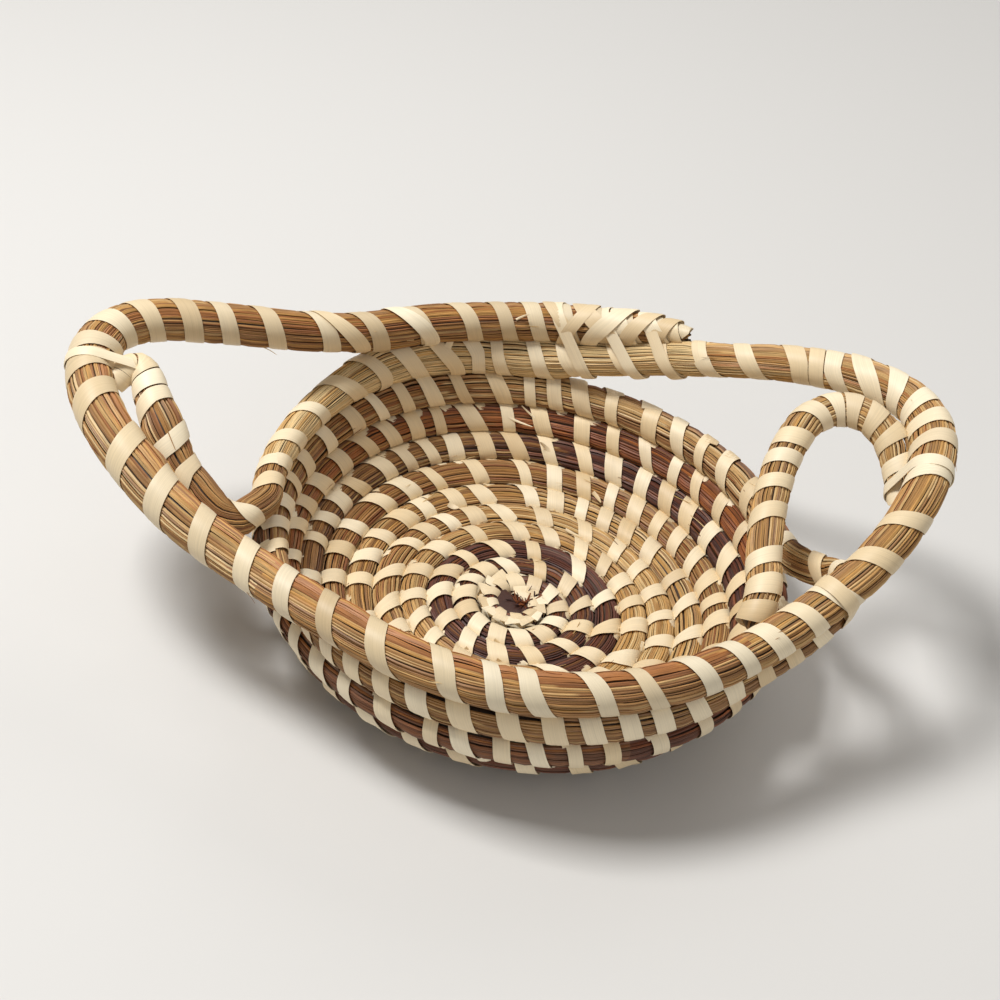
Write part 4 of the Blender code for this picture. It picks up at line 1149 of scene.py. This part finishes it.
for number, (name, (start, end)) in enumerate(rim_lengths.items()):
    wind_strip(name + "_strips", rim, start, end, 50 + number, [name + "_wrap"])
wind_strip("right_curl_strips", right_curl, 2 * MM, right_curl.walked[-1] - 2 * MM, 70,
           ["right_curl_wrap"])

# %% [markdown]
# ## Stitches of the bowl, one by one
# On the bowl a strip doesn't only go round its own row. It ends by diving into the row inside it,
# a little past the seam, and that pointed tail is what knits the rows together to the eye. So each
# stitch is a band of its own: over its row's face, across the seam, and down to a point in the
# face of the next row in. The outside of the wall has the same stitches the other way round.

# %% Sew the stitches
STITCH_WIDTH = 5.9 * MM
FACE_DEGREES = np.arange(-16, 161, 11)
TAIL_DEGREES = np.array([11, 22, 33, 44])
TAIL_WIDTHS = np.array([0.98, 0.92, 0.80, 0.56])
TAIL_LIFTS = np.array([0.50, 0.48, 0.32, -0.15]) * MM
STITCH_LIFT = 0.52 * MM
STITCH_LEANS = (0.5, 1.8)
KNOT_HEIGHT = 8.0 * MM
TAIL_ON_KNOT = np.array([1.0, 2.6, 4.2, 5.6]) * MM
TAIL_NEAREST = 2.2 * MM


def bands(centre, normal, width):
    """Corners of many flat bands: centre and normal have the shape bands, steps, 3."""
    along = unit(np.gradient(centre, axis=1))
    side = unit(np.cross(normal, along))
    out = unit(np.cross(along, side))
    across, height = np.array(STRIP_SECTION).T
    wide = (width[..., None] / 2 * across)[..., None] * side[:, :, None]
    thick = (STRIP_THICKNESS * height)[:, None] * out[:, :, None]
    return centre[:, :, None] + wide + thick


def add_bands(weave, random, centre, normal, width):
    """Bands with a shade and a place in the leaf of their own."""
    count, steps = centre.shape[:2]
    tint = np.repeat(palm_tints(random, count)[:, None], steps, axis=1)
    step = np.linalg.norm(np.diff(centre, axis=1), axis=-1)
    along = np.concatenate([np.zeros((count, 1)), np.cumsum(step, axis=1)], axis=1)
    weave.add(bands(centre, normal, width), along + random.random((count, 1)) * 3, tint)


def next_row_in(walked):
    """Walked length at the same bearing, one round earlier."""
    return np.interp(np.interp(walked, bowl.walked, bowl.rounds) - 1, bowl.rounds, bowl.walked)


def sew(name, numbers, side, seed, nodes=()):
    """Stitches on the inside (side 1) or the outside (side -1) of the bowl.

    The tail lies on the row inside, as many degrees past the seam as TAIL_DEGREES.
    """
    random = np.random.default_rng(seed)
    number = numbers[:, None] + (0 if side > 0 else 0.5)
    face = FACE_DEGREES[None] if side > 0 else 180 + (180 - FACE_DEGREES[None, ::-1])
    lean = random.uniform(*STITCH_LEANS, (len(numbers), 1))
    middle = 90 if side > 0 else 270
    turns = number - (0 if side > 0 else 0.5) + (middle + lean * (face - middle)) / 360
    point, out = bowl.surface(walked_at(bowl, turns), np.radians(face), STITCH_LIFT)
    long = TAIL_DEGREES[None] * random.uniform(0.75, 1.3, (len(numbers), 1))
    tail_face = 180 + side * long
    at_tail = walked_at(bowl, numbers[:, None] + (middle + lean * (tail_face - middle)) / 360)
    tail, tail_out = bowl.surface(next_row_in(at_tail), np.radians(side * long), TAIL_LIFTS[None])
    first_rows = (np.interp(at_tail, bowl.walked, bowl.rounds) < bowl.rounds[0] + 1)[..., None]
    seam = bowl.at(at_tail, np.pi + 0 * at_tail, 0.9 * bowl.radius_at(at_tail))
    radial = unit(seam * np.array([1, 1, 0]))
    reach = np.maximum(np.linalg.norm(seam[..., :2], axis=-1) - TAIL_ON_KNOT, TAIL_NEAREST)
    on_knot = radial * reach[..., None]
    on_knot = on_knot + np.array([0, 0, 1]) * (KNOT_HEIGHT + TAIL_LIFTS)[None, :, None]
    tail = np.where(first_rows, on_knot if side > 0 else seam, tail)
    tail_out = np.where(first_rows, np.array([0, 0, side * 1.0]), tail_out)
    share = random.uniform(0.74, 1.2, (len(numbers), 1))
    width = np.concatenate([np.full((len(numbers), len(FACE_DEGREES)), STITCH_WIDTH),
                            np.broadcast_to(TAIL_WIDTHS * STITCH_WIDTH, long.shape)], 1) * share
    spacing = np.diff(stitches, append=stitches[-1] + WRAP_PITCH)[numbers][:, None]
    width = np.minimum(width, 0.8 * spacing)
    centre = np.concatenate([point, tail], 1)
    normal = np.concatenate([out, tail_out], 1)
    if side < 0:
        centre = np.concatenate([tail[:, ::-1], point], 1)
        normal = np.concatenate([tail_out[:, ::-1], out], 1)
        width = np.concatenate([width[:, :-len(TAIL_DEGREES) - 1:-1], width[:, :len(FACE_DEGREES)]], 1)
    weave = Weave()
    add_bands(weave, random, centre, normal, width)
    return weave.make(name, PALM_FINISH, "palm_leaf", *nodes)


sewn = np.flatnonzero(stitches < leaves_wall - 4 * MM)
columns = sorted(name for name in NODES if name.startswith("stitch_column"))
sew("inside_stitches", sewn, 1, 81, columns)
outer = sewn[stitches[sewn] > stitches[sewn][-1] * 0.05]
sew("outside_stitches", outer, -1, 82)
wind_strip("bulge_strips", bowl, leaves_wall, bowl.walked[-1] - 1 * MM, 83)

# %% [markdown]
# ## Between the rows, and the knot in the middle
# Pressed rows leave no daylight between them. A dark flat tube in each seam is painted shade: it
# stands for the hidden blades in shadow there. The knot is where the maker began: a twist of
# needles with frayed ends.

# %% Seams and knot
SEAM_HALF_WIDTH = 1.6 * MM
SEAM_DEPTH_SHARE = 0.28
SEAM_CORNERS = 8
KNOT_CORNERS = 40
KNOT_CAP_HEIGHT = 6.6 * MM
KNOT_TOP = 8.3 * MM
KNOT_TIP = 1.9 * MM
KNOT_BLADES, KNOT_STANDING = 24, 90
KNOT_PITCH = 6.2 * MM
KNOT_SHIFT = np.array([2.6, 0.4, 0.0]) * MM
KNOT_ROWS = [(0.02, 0.82), (0.25, 1.0), (0.7, 1.0), (0.92, 0.9), (1.02, 0.7), (1.08, 0.4), (1.1, 0.1)]


def seam_tube():
    """A flat tube of painted shade half a round behind the coil, halfway between two rows."""
    rounds = np.arange(bowl.rounds[0] + 0.5, rounds_after(BULGE_SHARES[0][0], bowl.rounds[-1] - 1) - 0.5,
                       1 / 300)
    middle, across = spiral(rounds, 0.5)
    radial = unit(middle * np.array([1, 1, 0]))
    along = unit(np.gradient(middle, axis=0))
    across = unit(across - (across * along).sum(-1, keepdims=True) * along)
    out = np.cross(along, across)
    turn = np.arange(SEAM_CORNERS) * 2 * math.pi / SEAM_CORNERS
    deep = SEAM_DEPTH_SHARE * row_radius(section_distance(rounds))
    ring = (SEAM_HALF_WIDTH * np.cos(turn)[:, None] * across[:, None]
            + (deep[:, None] * np.sin(turn))[..., None] * out[:, None])
    weave = Weave()
    tint = np.broadcast_to(PAINTED_SHADE_TINT, (1, len(rounds), 3))
    weave.add((middle[:, None] + ring)[None], (rounds * 0.3)[None], tint)
    weave.make("row_seam_shade", GRASS_FINISH, "dark")


def lying_seam(name, one, low, high, other, other_low, other_high):
    """A flat tube of painted shade between a bundle and the one it lies on, from surface to surface.

    Where the two are further apart than SEAM_REACH, it lies hidden inside the first bundle.
    """
    inside = np.flatnonzero((one.walked >= low) & (one.walked <= high))
    under = np.flatnonzero((other.walked >= other_low) & (other.walked <= other_high))
    p = one.middle[inside]
    apart = np.linalg.norm(p[:, None] - other.middle[under][None], axis=-1)
    nearest = under[np.argmin(apart, axis=1)]
    q = other.middle[nearest]
    axis = unit(q - p)
    axis = unit(axis - (axis * one.along[inside]).sum(-1, keepdims=True) * one.along[inside])
    gap = apart.min(axis=1) - one.radius[inside] - other.radius[nearest]
    near = np.clip((SEAM_REACH - gap) / SETTLE_FADE, 0, 1)
    across = np.cross(one.along[inside], axis)
    middle = p + axis * (near * (one.radius[inside] + gap / 2))[:, None]
    wide = near * np.maximum(gap, 0) / 2 + 0.8 * MM
    turn = np.arange(SEAM_CORNERS) * 2 * math.pi / SEAM_CORNERS
    ring = (wide[:, None] * np.cos(turn))[..., None] * axis[:, None]
    ring = ring + (LYING_DEPTH_SHARE * one.radius[inside][:, None] * np.sin(turn))[..., None] * across[:, None]
    weave = Weave()
    weave.add((middle[:, None] + ring)[None], one.walked[inside][None],
              np.broadcast_to(PAINTED_SHADE_TINT, (1, len(inside), 3)))
    weave.make(name, GRASS_FINISH, "dark")


SEAM_REACH = 5.5 * MM
LYING_DEPTH_SHARE = 0.3


def hair_rings(start, heading, bend, length, thickness, steps=7, corners=4):
    """Thin bent tubes: start + heading times the way + bend times its square."""
    way = np.linspace(0, 1, steps)[None, :, None]
    line = start[:, None] + (heading[:, None] * way + bend[:, None] * way ** 2) * length[:, None, None]
    along = unit(np.gradient(line, axis=1))
    u = unit(np.cross(along, np.array([0.31, 0.87, 0.38])))
    v = np.cross(along, u)
    turn = np.arange(corners) * 2 * math.pi / corners
    thin = (thickness[:, None] * np.linspace(1, 0.45, steps)[None] / 2)[..., None, None]
    return line[:, :, None] + thin * (np.cos(turn)[:, None] * u[:, :, None]
                                      + np.sin(turn)[:, None] * v[:, :, None])


def knot_bundle():
    """The spiral carried one round inward from the coil's start, thinning to the tip's radius."""
    rounds = np.linspace(bowl_rounds[0] - 1, bowl_rounds[0] + 0.04, 200)
    middle, across = spiral(rounds)
    full = row_radius(section_distance(bowl_rounds[0]))
    radius = KNOT_TIP + (full - KNOT_TIP) * np.linspace(0, 1, len(rounds)) ** 0.7
    middle[:, 2] = KNOT_TOP - radius
    made = Bundle("knot", middle, across, radius)
    set_turns(made, np.arange(KNOT_PITCH / 2, made.walked[-1], KNOT_PITCH), np.full(
        len(np.arange(KNOT_PITCH / 2, made.walked[-1], KNOT_PITCH)), math.pi / 2))
    return made


def centre_knot():
    """Its outline fills the eye of the coil, and short needles stand up from it."""
    turn = np.arange(KNOT_CORNERS) / KNOT_CORNERS
    distance = section_distance(bowl_rounds[0] + turn)
    reach = distance - row_radius(distance) - CLEARANCE
    begin = math.atan2(bowl.middle[0][1], bowl.middle[0][0])
    angle = begin - turn * 2 * math.pi
    reach, angle = reach[::-1], angle[::-1]
    spoke = np.stack([np.cos(angle), np.sin(angle), 0 * angle], -1)
    rows = np.array([spoke * (reach * share)[:, None] + np.array([0, 0, high * KNOT_CAP_HEIGHT])
                     for high, share in KNOT_ROWS])
    weave = Weave()
    # The cap is the needles' deep red, darkened to two fifths: partly their own colour, partly painted shade under
    # them.
    weave.add(rows[None], np.linspace(0, 0.02, len(rows))[None],
              np.broadcast_to(DEEP_RED * 0.4, (1, len(rows), 3)))
    strands = Strands(knot, KNOT_BLADES, 14)
    inside = np.arange(len(knot.walked))
    weave.add(core_rings(knot, inside), knot.walked[None], np.broadcast_to(PAINTED_SHADE_TINT, (1, len(inside), 3)))
    weave.add(strands.rings(inside), knot.walked[None] + strands.random_share[:, None] * 3,
              strand_tints(strands, inside, "start", None))
    random = np.random.default_rng(90)
    count = KNOT_STANDING
    where, far = random.uniform(0, 2 * math.pi, count), random.uniform(0.1, 3.0, count) * MM
    begin = np.stack([far * np.cos(where), far * np.sin(where), np.full(count, KNOT_CAP_HEIGHT)], -1)
    begin = begin + KNOT_SHIFT
    heading = random.normal(0, 1, (count, 3)) * [0.8, 0.8, 0.15] + [0, 0, 0.8]
    bend = random.normal(0, 0.4, (count, 3)) - [0, 0, 0.4]
    length = random.uniform(1.6, 3.4, count) * MM
    rings = hair_rings(begin, heading, bend, length, random.uniform(0.5, 1.2, count) * MM)
    shades = np.array([DEEP_RED, RED_BROWN, DARK_PURPLE, RED_BROWN])[random.integers(0, 4, count)]
    way = np.linspace(0, 0.005, rings.shape[1])[None] + random.random((count, 1))
    weave.add(rings, way, np.repeat(shades[:, None], rings.shape[1], axis=1))
    weave.make("knot_needles", GRASS_FINISH, "russet", "centre_knot")


seam_tube()
for seam, length in (("back_seam", "back_row"), ("ear_seam", "right_ear"), ("front_seam", "rim_front")):
    lying_seam(seam, rim, *rim_lengths[length], *last_round)
lying_seam("top_seam", rim, *rim_lengths["back_top"], rim, *rim_lengths["back_row"])
knot = knot_bundle()
centre_knot()
wind_strip("knot_strips", knot, 1 * MM, knot.walked[-1], 84)

# %% [markdown]
# ## Lashings
# Where two bundles meet, one strip goes round both. Seen along the bundles the strip is a belt
# round two circles: in each direction it lies on whichever circle reaches further. A slope along
# the bundles tilts the belt, and belts with opposite slopes make the crossed binding of the tail.

# %% Tie the bundles
BELT_STEPS = 56
BELT_LIFT = 0.95 * MM
CURL_END_REACH = 6.0 * MM


def belt(one, place, other, other_place, slope, lift):
    """Middle line and outward directions of a strip round two bundles."""
    p, q = [b.at(np.array([s]), np.zeros(1), np.zeros(1))[0] for b, s in ((one, place), (other, other_place))]
    along = [np.array([np.interp(s, b.walked, b.along[:, k]) for k in range(3)])
             for b, s in ((one, place), (other, other_place))]
    axis = unit(q - p)
    run = along[0] + along[1] * np.sign(along[0] @ along[1])
    run = unit(run - run @ axis * axis)
    over = np.cross(run, axis)
    turn = np.linspace(0, 2 * math.pi, 721) + math.pi / 2 + (math.pi if over @ CAMERA_BACK > 0 else 0)
    out = np.cos(turn)[:, None] * axis + np.sin(turn)[:, None] * over
    near, far = one.radius_at(place) + lift, other.radius_at(other_place) + lift
    farther = (out @ q + far > out @ p + near)[:, None]
    point = np.where(farther, q + far * out, p + near * out)
    walked = np.concatenate([[0], np.cumsum(np.linalg.norm(np.diff(point, axis=0), axis=-1))])
    even = np.linspace(0, walked[-1], BELT_STEPS)
    point = np.stack([np.interp(even, walked, point[:, k]) for k in range(3)], -1)
    out = unit(np.stack([np.interp(even, walked, out[:, k]) for k in range(3)], -1))
    shifted = place + slope * ((point - (p + q) / 2) @ axis)
    point = point + one.at(shifted, 0 * shifted, 0 * shifted) - p
    point = point + np.linspace(-0.15, 0.15, BELT_STEPS)[:, None] * MM * out
    return point, out


def tie(name, ties, seed, nodes):
    """Belts given as bundle, place, bundle, place, slope, width and lift."""
    random = np.random.default_rng(seed)
    weave = Weave()
    for one, place, other, other_place, slope, width, lift in ties:
        point, out = belt(one, place, other, other_place, slope, lift)
        add_bands(weave, random, point[None], out[None], np.full((1, len(point)), width))
    weave.make(name, PALM_FINISH, "palm_leaf", *nodes)


def beside(one, place, other, low=0.0, high=None):
    """A bundle, a place, another bundle and its nearest place."""
    point = one.at(np.array([place]), np.zeros(1), np.zeros(1))[0]
    return one, place, other, other.nearest(point, low, high)


def hoop(bundle, place, facing, slope, lift):
    """A tilted ring round one bundle: it leans along by the slope times the sine of its angle."""
    angle = facing + math.pi + np.linspace(0, 2 * math.pi, BELT_STEPS)
    walked = place + slope * bundle.radius_at(place) * np.sin(angle - facing)
    return bundle.surface(walked, angle, lift + np.linspace(-0.12, 0.12, BELT_STEPS) * MM)


def bind_tail():
    """Crossed hoops round the rim's thin end, and belts that hold it to its back row."""
    random = np.random.default_rng(91)
    weave = Weave()
    tail_low = rim_lengths["back_top"][0]
    back_low, back_high = rim_lengths["back_row"]
    for length, pixel, slope, width, lift in HOOPS:
        place, facing = rim.seen_at(pixel, *rim_lengths[length])
        point, out = hoop(rim, place, facing, slope, lift * MM)
        add_bands(weave, random, point[None], out[None], np.full((1, BELT_STEPS), width * MM))
    for x, slope, width in BELTS:
        place, _ = rim.seen_at((x, TAIL_LINE), tail_low, rim.walked[-1])
        given = beside(rim, place, rim, back_low, back_high + 30 * MM)
        point, out = belt(*given, slope, BELT_LIFT)
        add_bands(weave, random, point[None], out[None], np.full((1, BELT_STEPS), width * MM))
    weave.make("tail_lashings", PALM_FINISH, "palm_leaf", "tail_lashing_1", "tail_lashing_2",
               "tail_lashing_3")


TAIL_LINE = 328
HOOPS = [
    ("back_top", (560, 322), 0.9, 4.6, 0.8), ("back_top", (580, 322), -0.9, 4.8, 1.1),
    ("back_top", (599, 324), 1.3, 6.5, 0.9), ("back_top", (609, 325), -1.3, 6.5, 1.3),
    ("back_top", (627, 326), 0.6, 5.5, 0.9), ("back_top", (641, 327), -1.1, 5.8, 1.3),
    ("back_top", (655, 328), 1.0, 6.0, 0.9), ("back_top", (668, 330), -0.7, 6.0, 1.3),
    ("back_top", (675, 331), 0.6, 5.0, 0.9), ("right_ear", (874, 380), 1.0, 7.0, 0.9),
    ("left_ear", (340, 331), 1.3, 5.8, 0.9), ("back_top", (413, 326), 1.15, 5.8, 0.9),
    ("back_row", (368, 366), 0.7, 5.4, 0.8), ("back_row", (437, 358), 1.15, 5.8, 0.9),
]
BELTS = [(572, 0.4, 4.8), (622, 0.4, 4.8), (664, 0.4, 4.8)]
bind_tail()
ear_low, ear_high = rim_lengths["left_ear"]
tie("left_curl_ties", [
    beside(rim, CURL_END_REACH + 2 * MM, rim, ear_low, ear_high) + (0.0, 3.6 * MM, BELT_LIFT),
], 92, ["left_curl_lashing"])
ear_low, ear_high = rim_lengths["right_ear"]
curl_end = right_curl.walked[-1] - CURL_END_REACH
tie("right_curl_ties", [
    beside(right_curl, curl_end, rim, ear_low, ear_high) + (0.0, 4.6 * MM, BELT_LIFT),
], 93, ["right_curl_lashing"])
bulge_place = bowl.nearest(rim_curve(np.array([-21.5]))[0], leaves_wall)
tie("bulge_ties", [beside(bowl, bulge_place, rim, ear_low, ear_high) + (0.1, 5.2 * MM, BELT_LIFT)],
    94, ["bulge_lashing"])

# %% [markdown]
# ## Loose ends and stray blades
# A hand-sewn basket is never tidy. A few ends of palm leaf curl off the inside, and short blades
# stand out along every bundle. They are placed where the photograph shows them, or at random.

# %% Loose ends
LOOSE_STEPS = 10
LOOSE_ENDS = [
    ("rim", "back_row", (437, 352), 0.5, -0.8, 6.0, 3.2), ("rim", "back_top", (515, 330), 0.9, -0.5, 5.0, 0.9),
    ("bowl", None, (505, 404), 0.9, 0.4, 9.0, 1.0), ("bowl", None, (540, 408), -0.9, -0.5, 9.0, 0.9),
    ("bowl", None, (552, 440), -0.8, -0.6, 6.0, 1.6), ("bowl", None, (600, 484), 0.9, 0.4, 6.0, 1.6),
    ("bowl", None, (565, 530), 0.9, 0.2, 6.0, 1.2), ("bowl", None, (444, 512), 0.6, 0.8, 5.0, 2.2),
    ("bowl", None, (515, 715), 0.8, -0.6, 7.0, 3.0), ("bowl", None, (575, 735), 0.95, 0.1, 11.0, 1.8),
]
STRAY_COUNT = 170


def loose_ends():
    """Bands that start on a bundle where a pixel shows it, and curl up off it."""
    random = np.random.default_rng(95)
    weave = Weave()
    way = np.linspace(0, 1, LOOSE_STEPS)[:, None]
    for kind, length_name, pixel, along_share, round_share, length, width in LOOSE_ENDS:
        bundle = bowl if kind == "bowl" else rim
        low, high = (0, leaves_wall) if length_name is None else rim_lengths[length_name]
        place, angle = bundle.seen_at(pixel, low, high)
        point, out = [v[0] for v in bundle.surface(np.array([place]), np.array([angle]), np.array([0.5 * MM]))]
        along = np.array([np.interp(place, bundle.walked, bundle.along[:, k]) for k in range(3)])
        heading = unit(along_share * along + round_share * np.cross(along, out))
        curl = random.uniform(0.3, 0.7)
        centre = point + length * MM * (way * heading + curl * way ** 2 * out
                                        + random.normal(0, 0.12, 3) * way ** 2)
        normal = unit(out - 1.1 * curl * way * heading)
        taper = (1 - 0.75 * way[:, 0] ** 3) * width * MM
        add_bands(weave, random, centre[None], np.broadcast_to(normal, centre.shape)[None], taper[None])
    weave.make("loose_ends", PALM_FINISH, "palm_leaf")


def stray_blades():
    """Short thin blades along every bundle, most of them lying close to it."""
    random = np.random.default_rng(96)
    weave = Weave()
    shades = np.array([STRAW, PALE_STRAW, TAN, BROWN_TAN, RED_BROWN])
    for bundle, count in ((bowl, STRAY_COUNT), (rim, STRAY_COUNT // 2), (right_curl, STRAY_COUNT // 12)):
        place = random.uniform(0.01, 0.98, count) * bundle.walked[-1]
        angle = random.uniform(0, 2 * math.pi, count)
        if bundle is bowl:
            angle = random.uniform(0.3, math.pi - 0.3, count)
        point, out = bundle.surface(place, angle, np.full(count, -0.2 * MM))
        along = np.stack([np.interp(place, bundle.walked, bundle.along[:, k]) for k in range(3)], -1)
        along = along * np.sign(random.random(count) - 0.5)[:, None]
        heading = along + out * random.uniform(0.0, 0.12, count)[:, None] + random.normal(0, 0.06, (count, 3))
        bend = out * random.uniform(-0.05, 0.14, count)[:, None] + random.normal(0, 0.08, (count, 3))
        length = random.uniform(3, 10, count) * MM
        rings = hair_rings(point, heading, bend, length, random.uniform(0.2, 0.55, count) * MM)
        way = np.linspace(0, 0.01, rings.shape[1])[None] + random.random((count, 1))
        tint = shades[random.integers(0, len(shades), count)]
        weave.add(rings, way, np.repeat(tint[:, None], rings.shape[1], axis=1))
    weave.make("stray_blades", GRASS_FINISH, "sweetgrass")


loose_ends()
stray_blades()

# %% [markdown]
# ## Floor, light and the last step
# The floor is a plain pale sheet. Its colour, seen straight by the camera, is near white, and the
# lamps stay at a level where a colour renders about as it is written.


# %% Floor and lamps
def plain_floor():
    """A large square at the height that the basket stands on."""
    half = 3.0
    mesh = bpy.data.meshes.new("floor")
    mesh.from_pydata([(-half, -half, 0), (half, -half, 0), (half, half, 0), (-half, half, 0)], [],
                     [(0, 1, 2, 3)])
    floor = bpy.data.objects.new("floor", mesh)
    bpy.context.scene.collection.objects.link(floor)
    made = bpy.data.materials.new("pale_floor")
    made.use_nodes = True
    shader = made.node_tree.nodes["Principled BSDF"]
    shader.inputs["Base Color"].default_value = (0.66, 0.645, 0.62, 1)
    shader.inputs["Roughness"].default_value = 0.9
    mesh.materials.append(made)


def soft_lamp(name, place, target, size, watts):
    """A square lamp that faces a target."""
    lamp = bpy.data.lights.new(name, "AREA")
    lamp.shape, lamp.size, lamp.energy = "SQUARE", size, watts
    holder = bpy.data.objects.new(name, lamp)
    bpy.context.scene.collection.objects.link(holder)
    back = unit(np.array(place) - np.array(target))
    right = unit(np.cross([0, 0, 1], back))
    turned = np.eye(4)
    turned[:3, 0], turned[:3, 1], turned[:3, 2] = right, np.cross(back, right), back
    turned[:3, 3] = place
    holder.matrix_world = Matrix(turned.tolist())


plain_floor()
soft_lamp("key_lamp", (-0.62, -0.02, 1.25), (0, 0, 0.04), 0.36, 17.8)
soft_lamp("fill_lamp", (0.9, -0.9, 0.9), (0, 0, 0.04), 1.2, 3.2)
soft_lamp("back_lamp", (0.4, 1.0, 1.0), (0, 0, 0.04), 0.9, 4.0)
world = bpy.data.worlds.new("studio")
bpy.context.scene.world = world
world.use_nodes = True
world.node_tree.nodes["Background"].inputs["Color"].default_value = (1.0, 0.98, 0.95, 1)
world.node_tree.nodes["Background"].inputs["Strength"].default_value = 0.28
bpy.context.scene.view_settings.view_transform = "Standard"

# %% Sizes, and finish
print("triangles in all:", sum(TRIANGLES.values()))
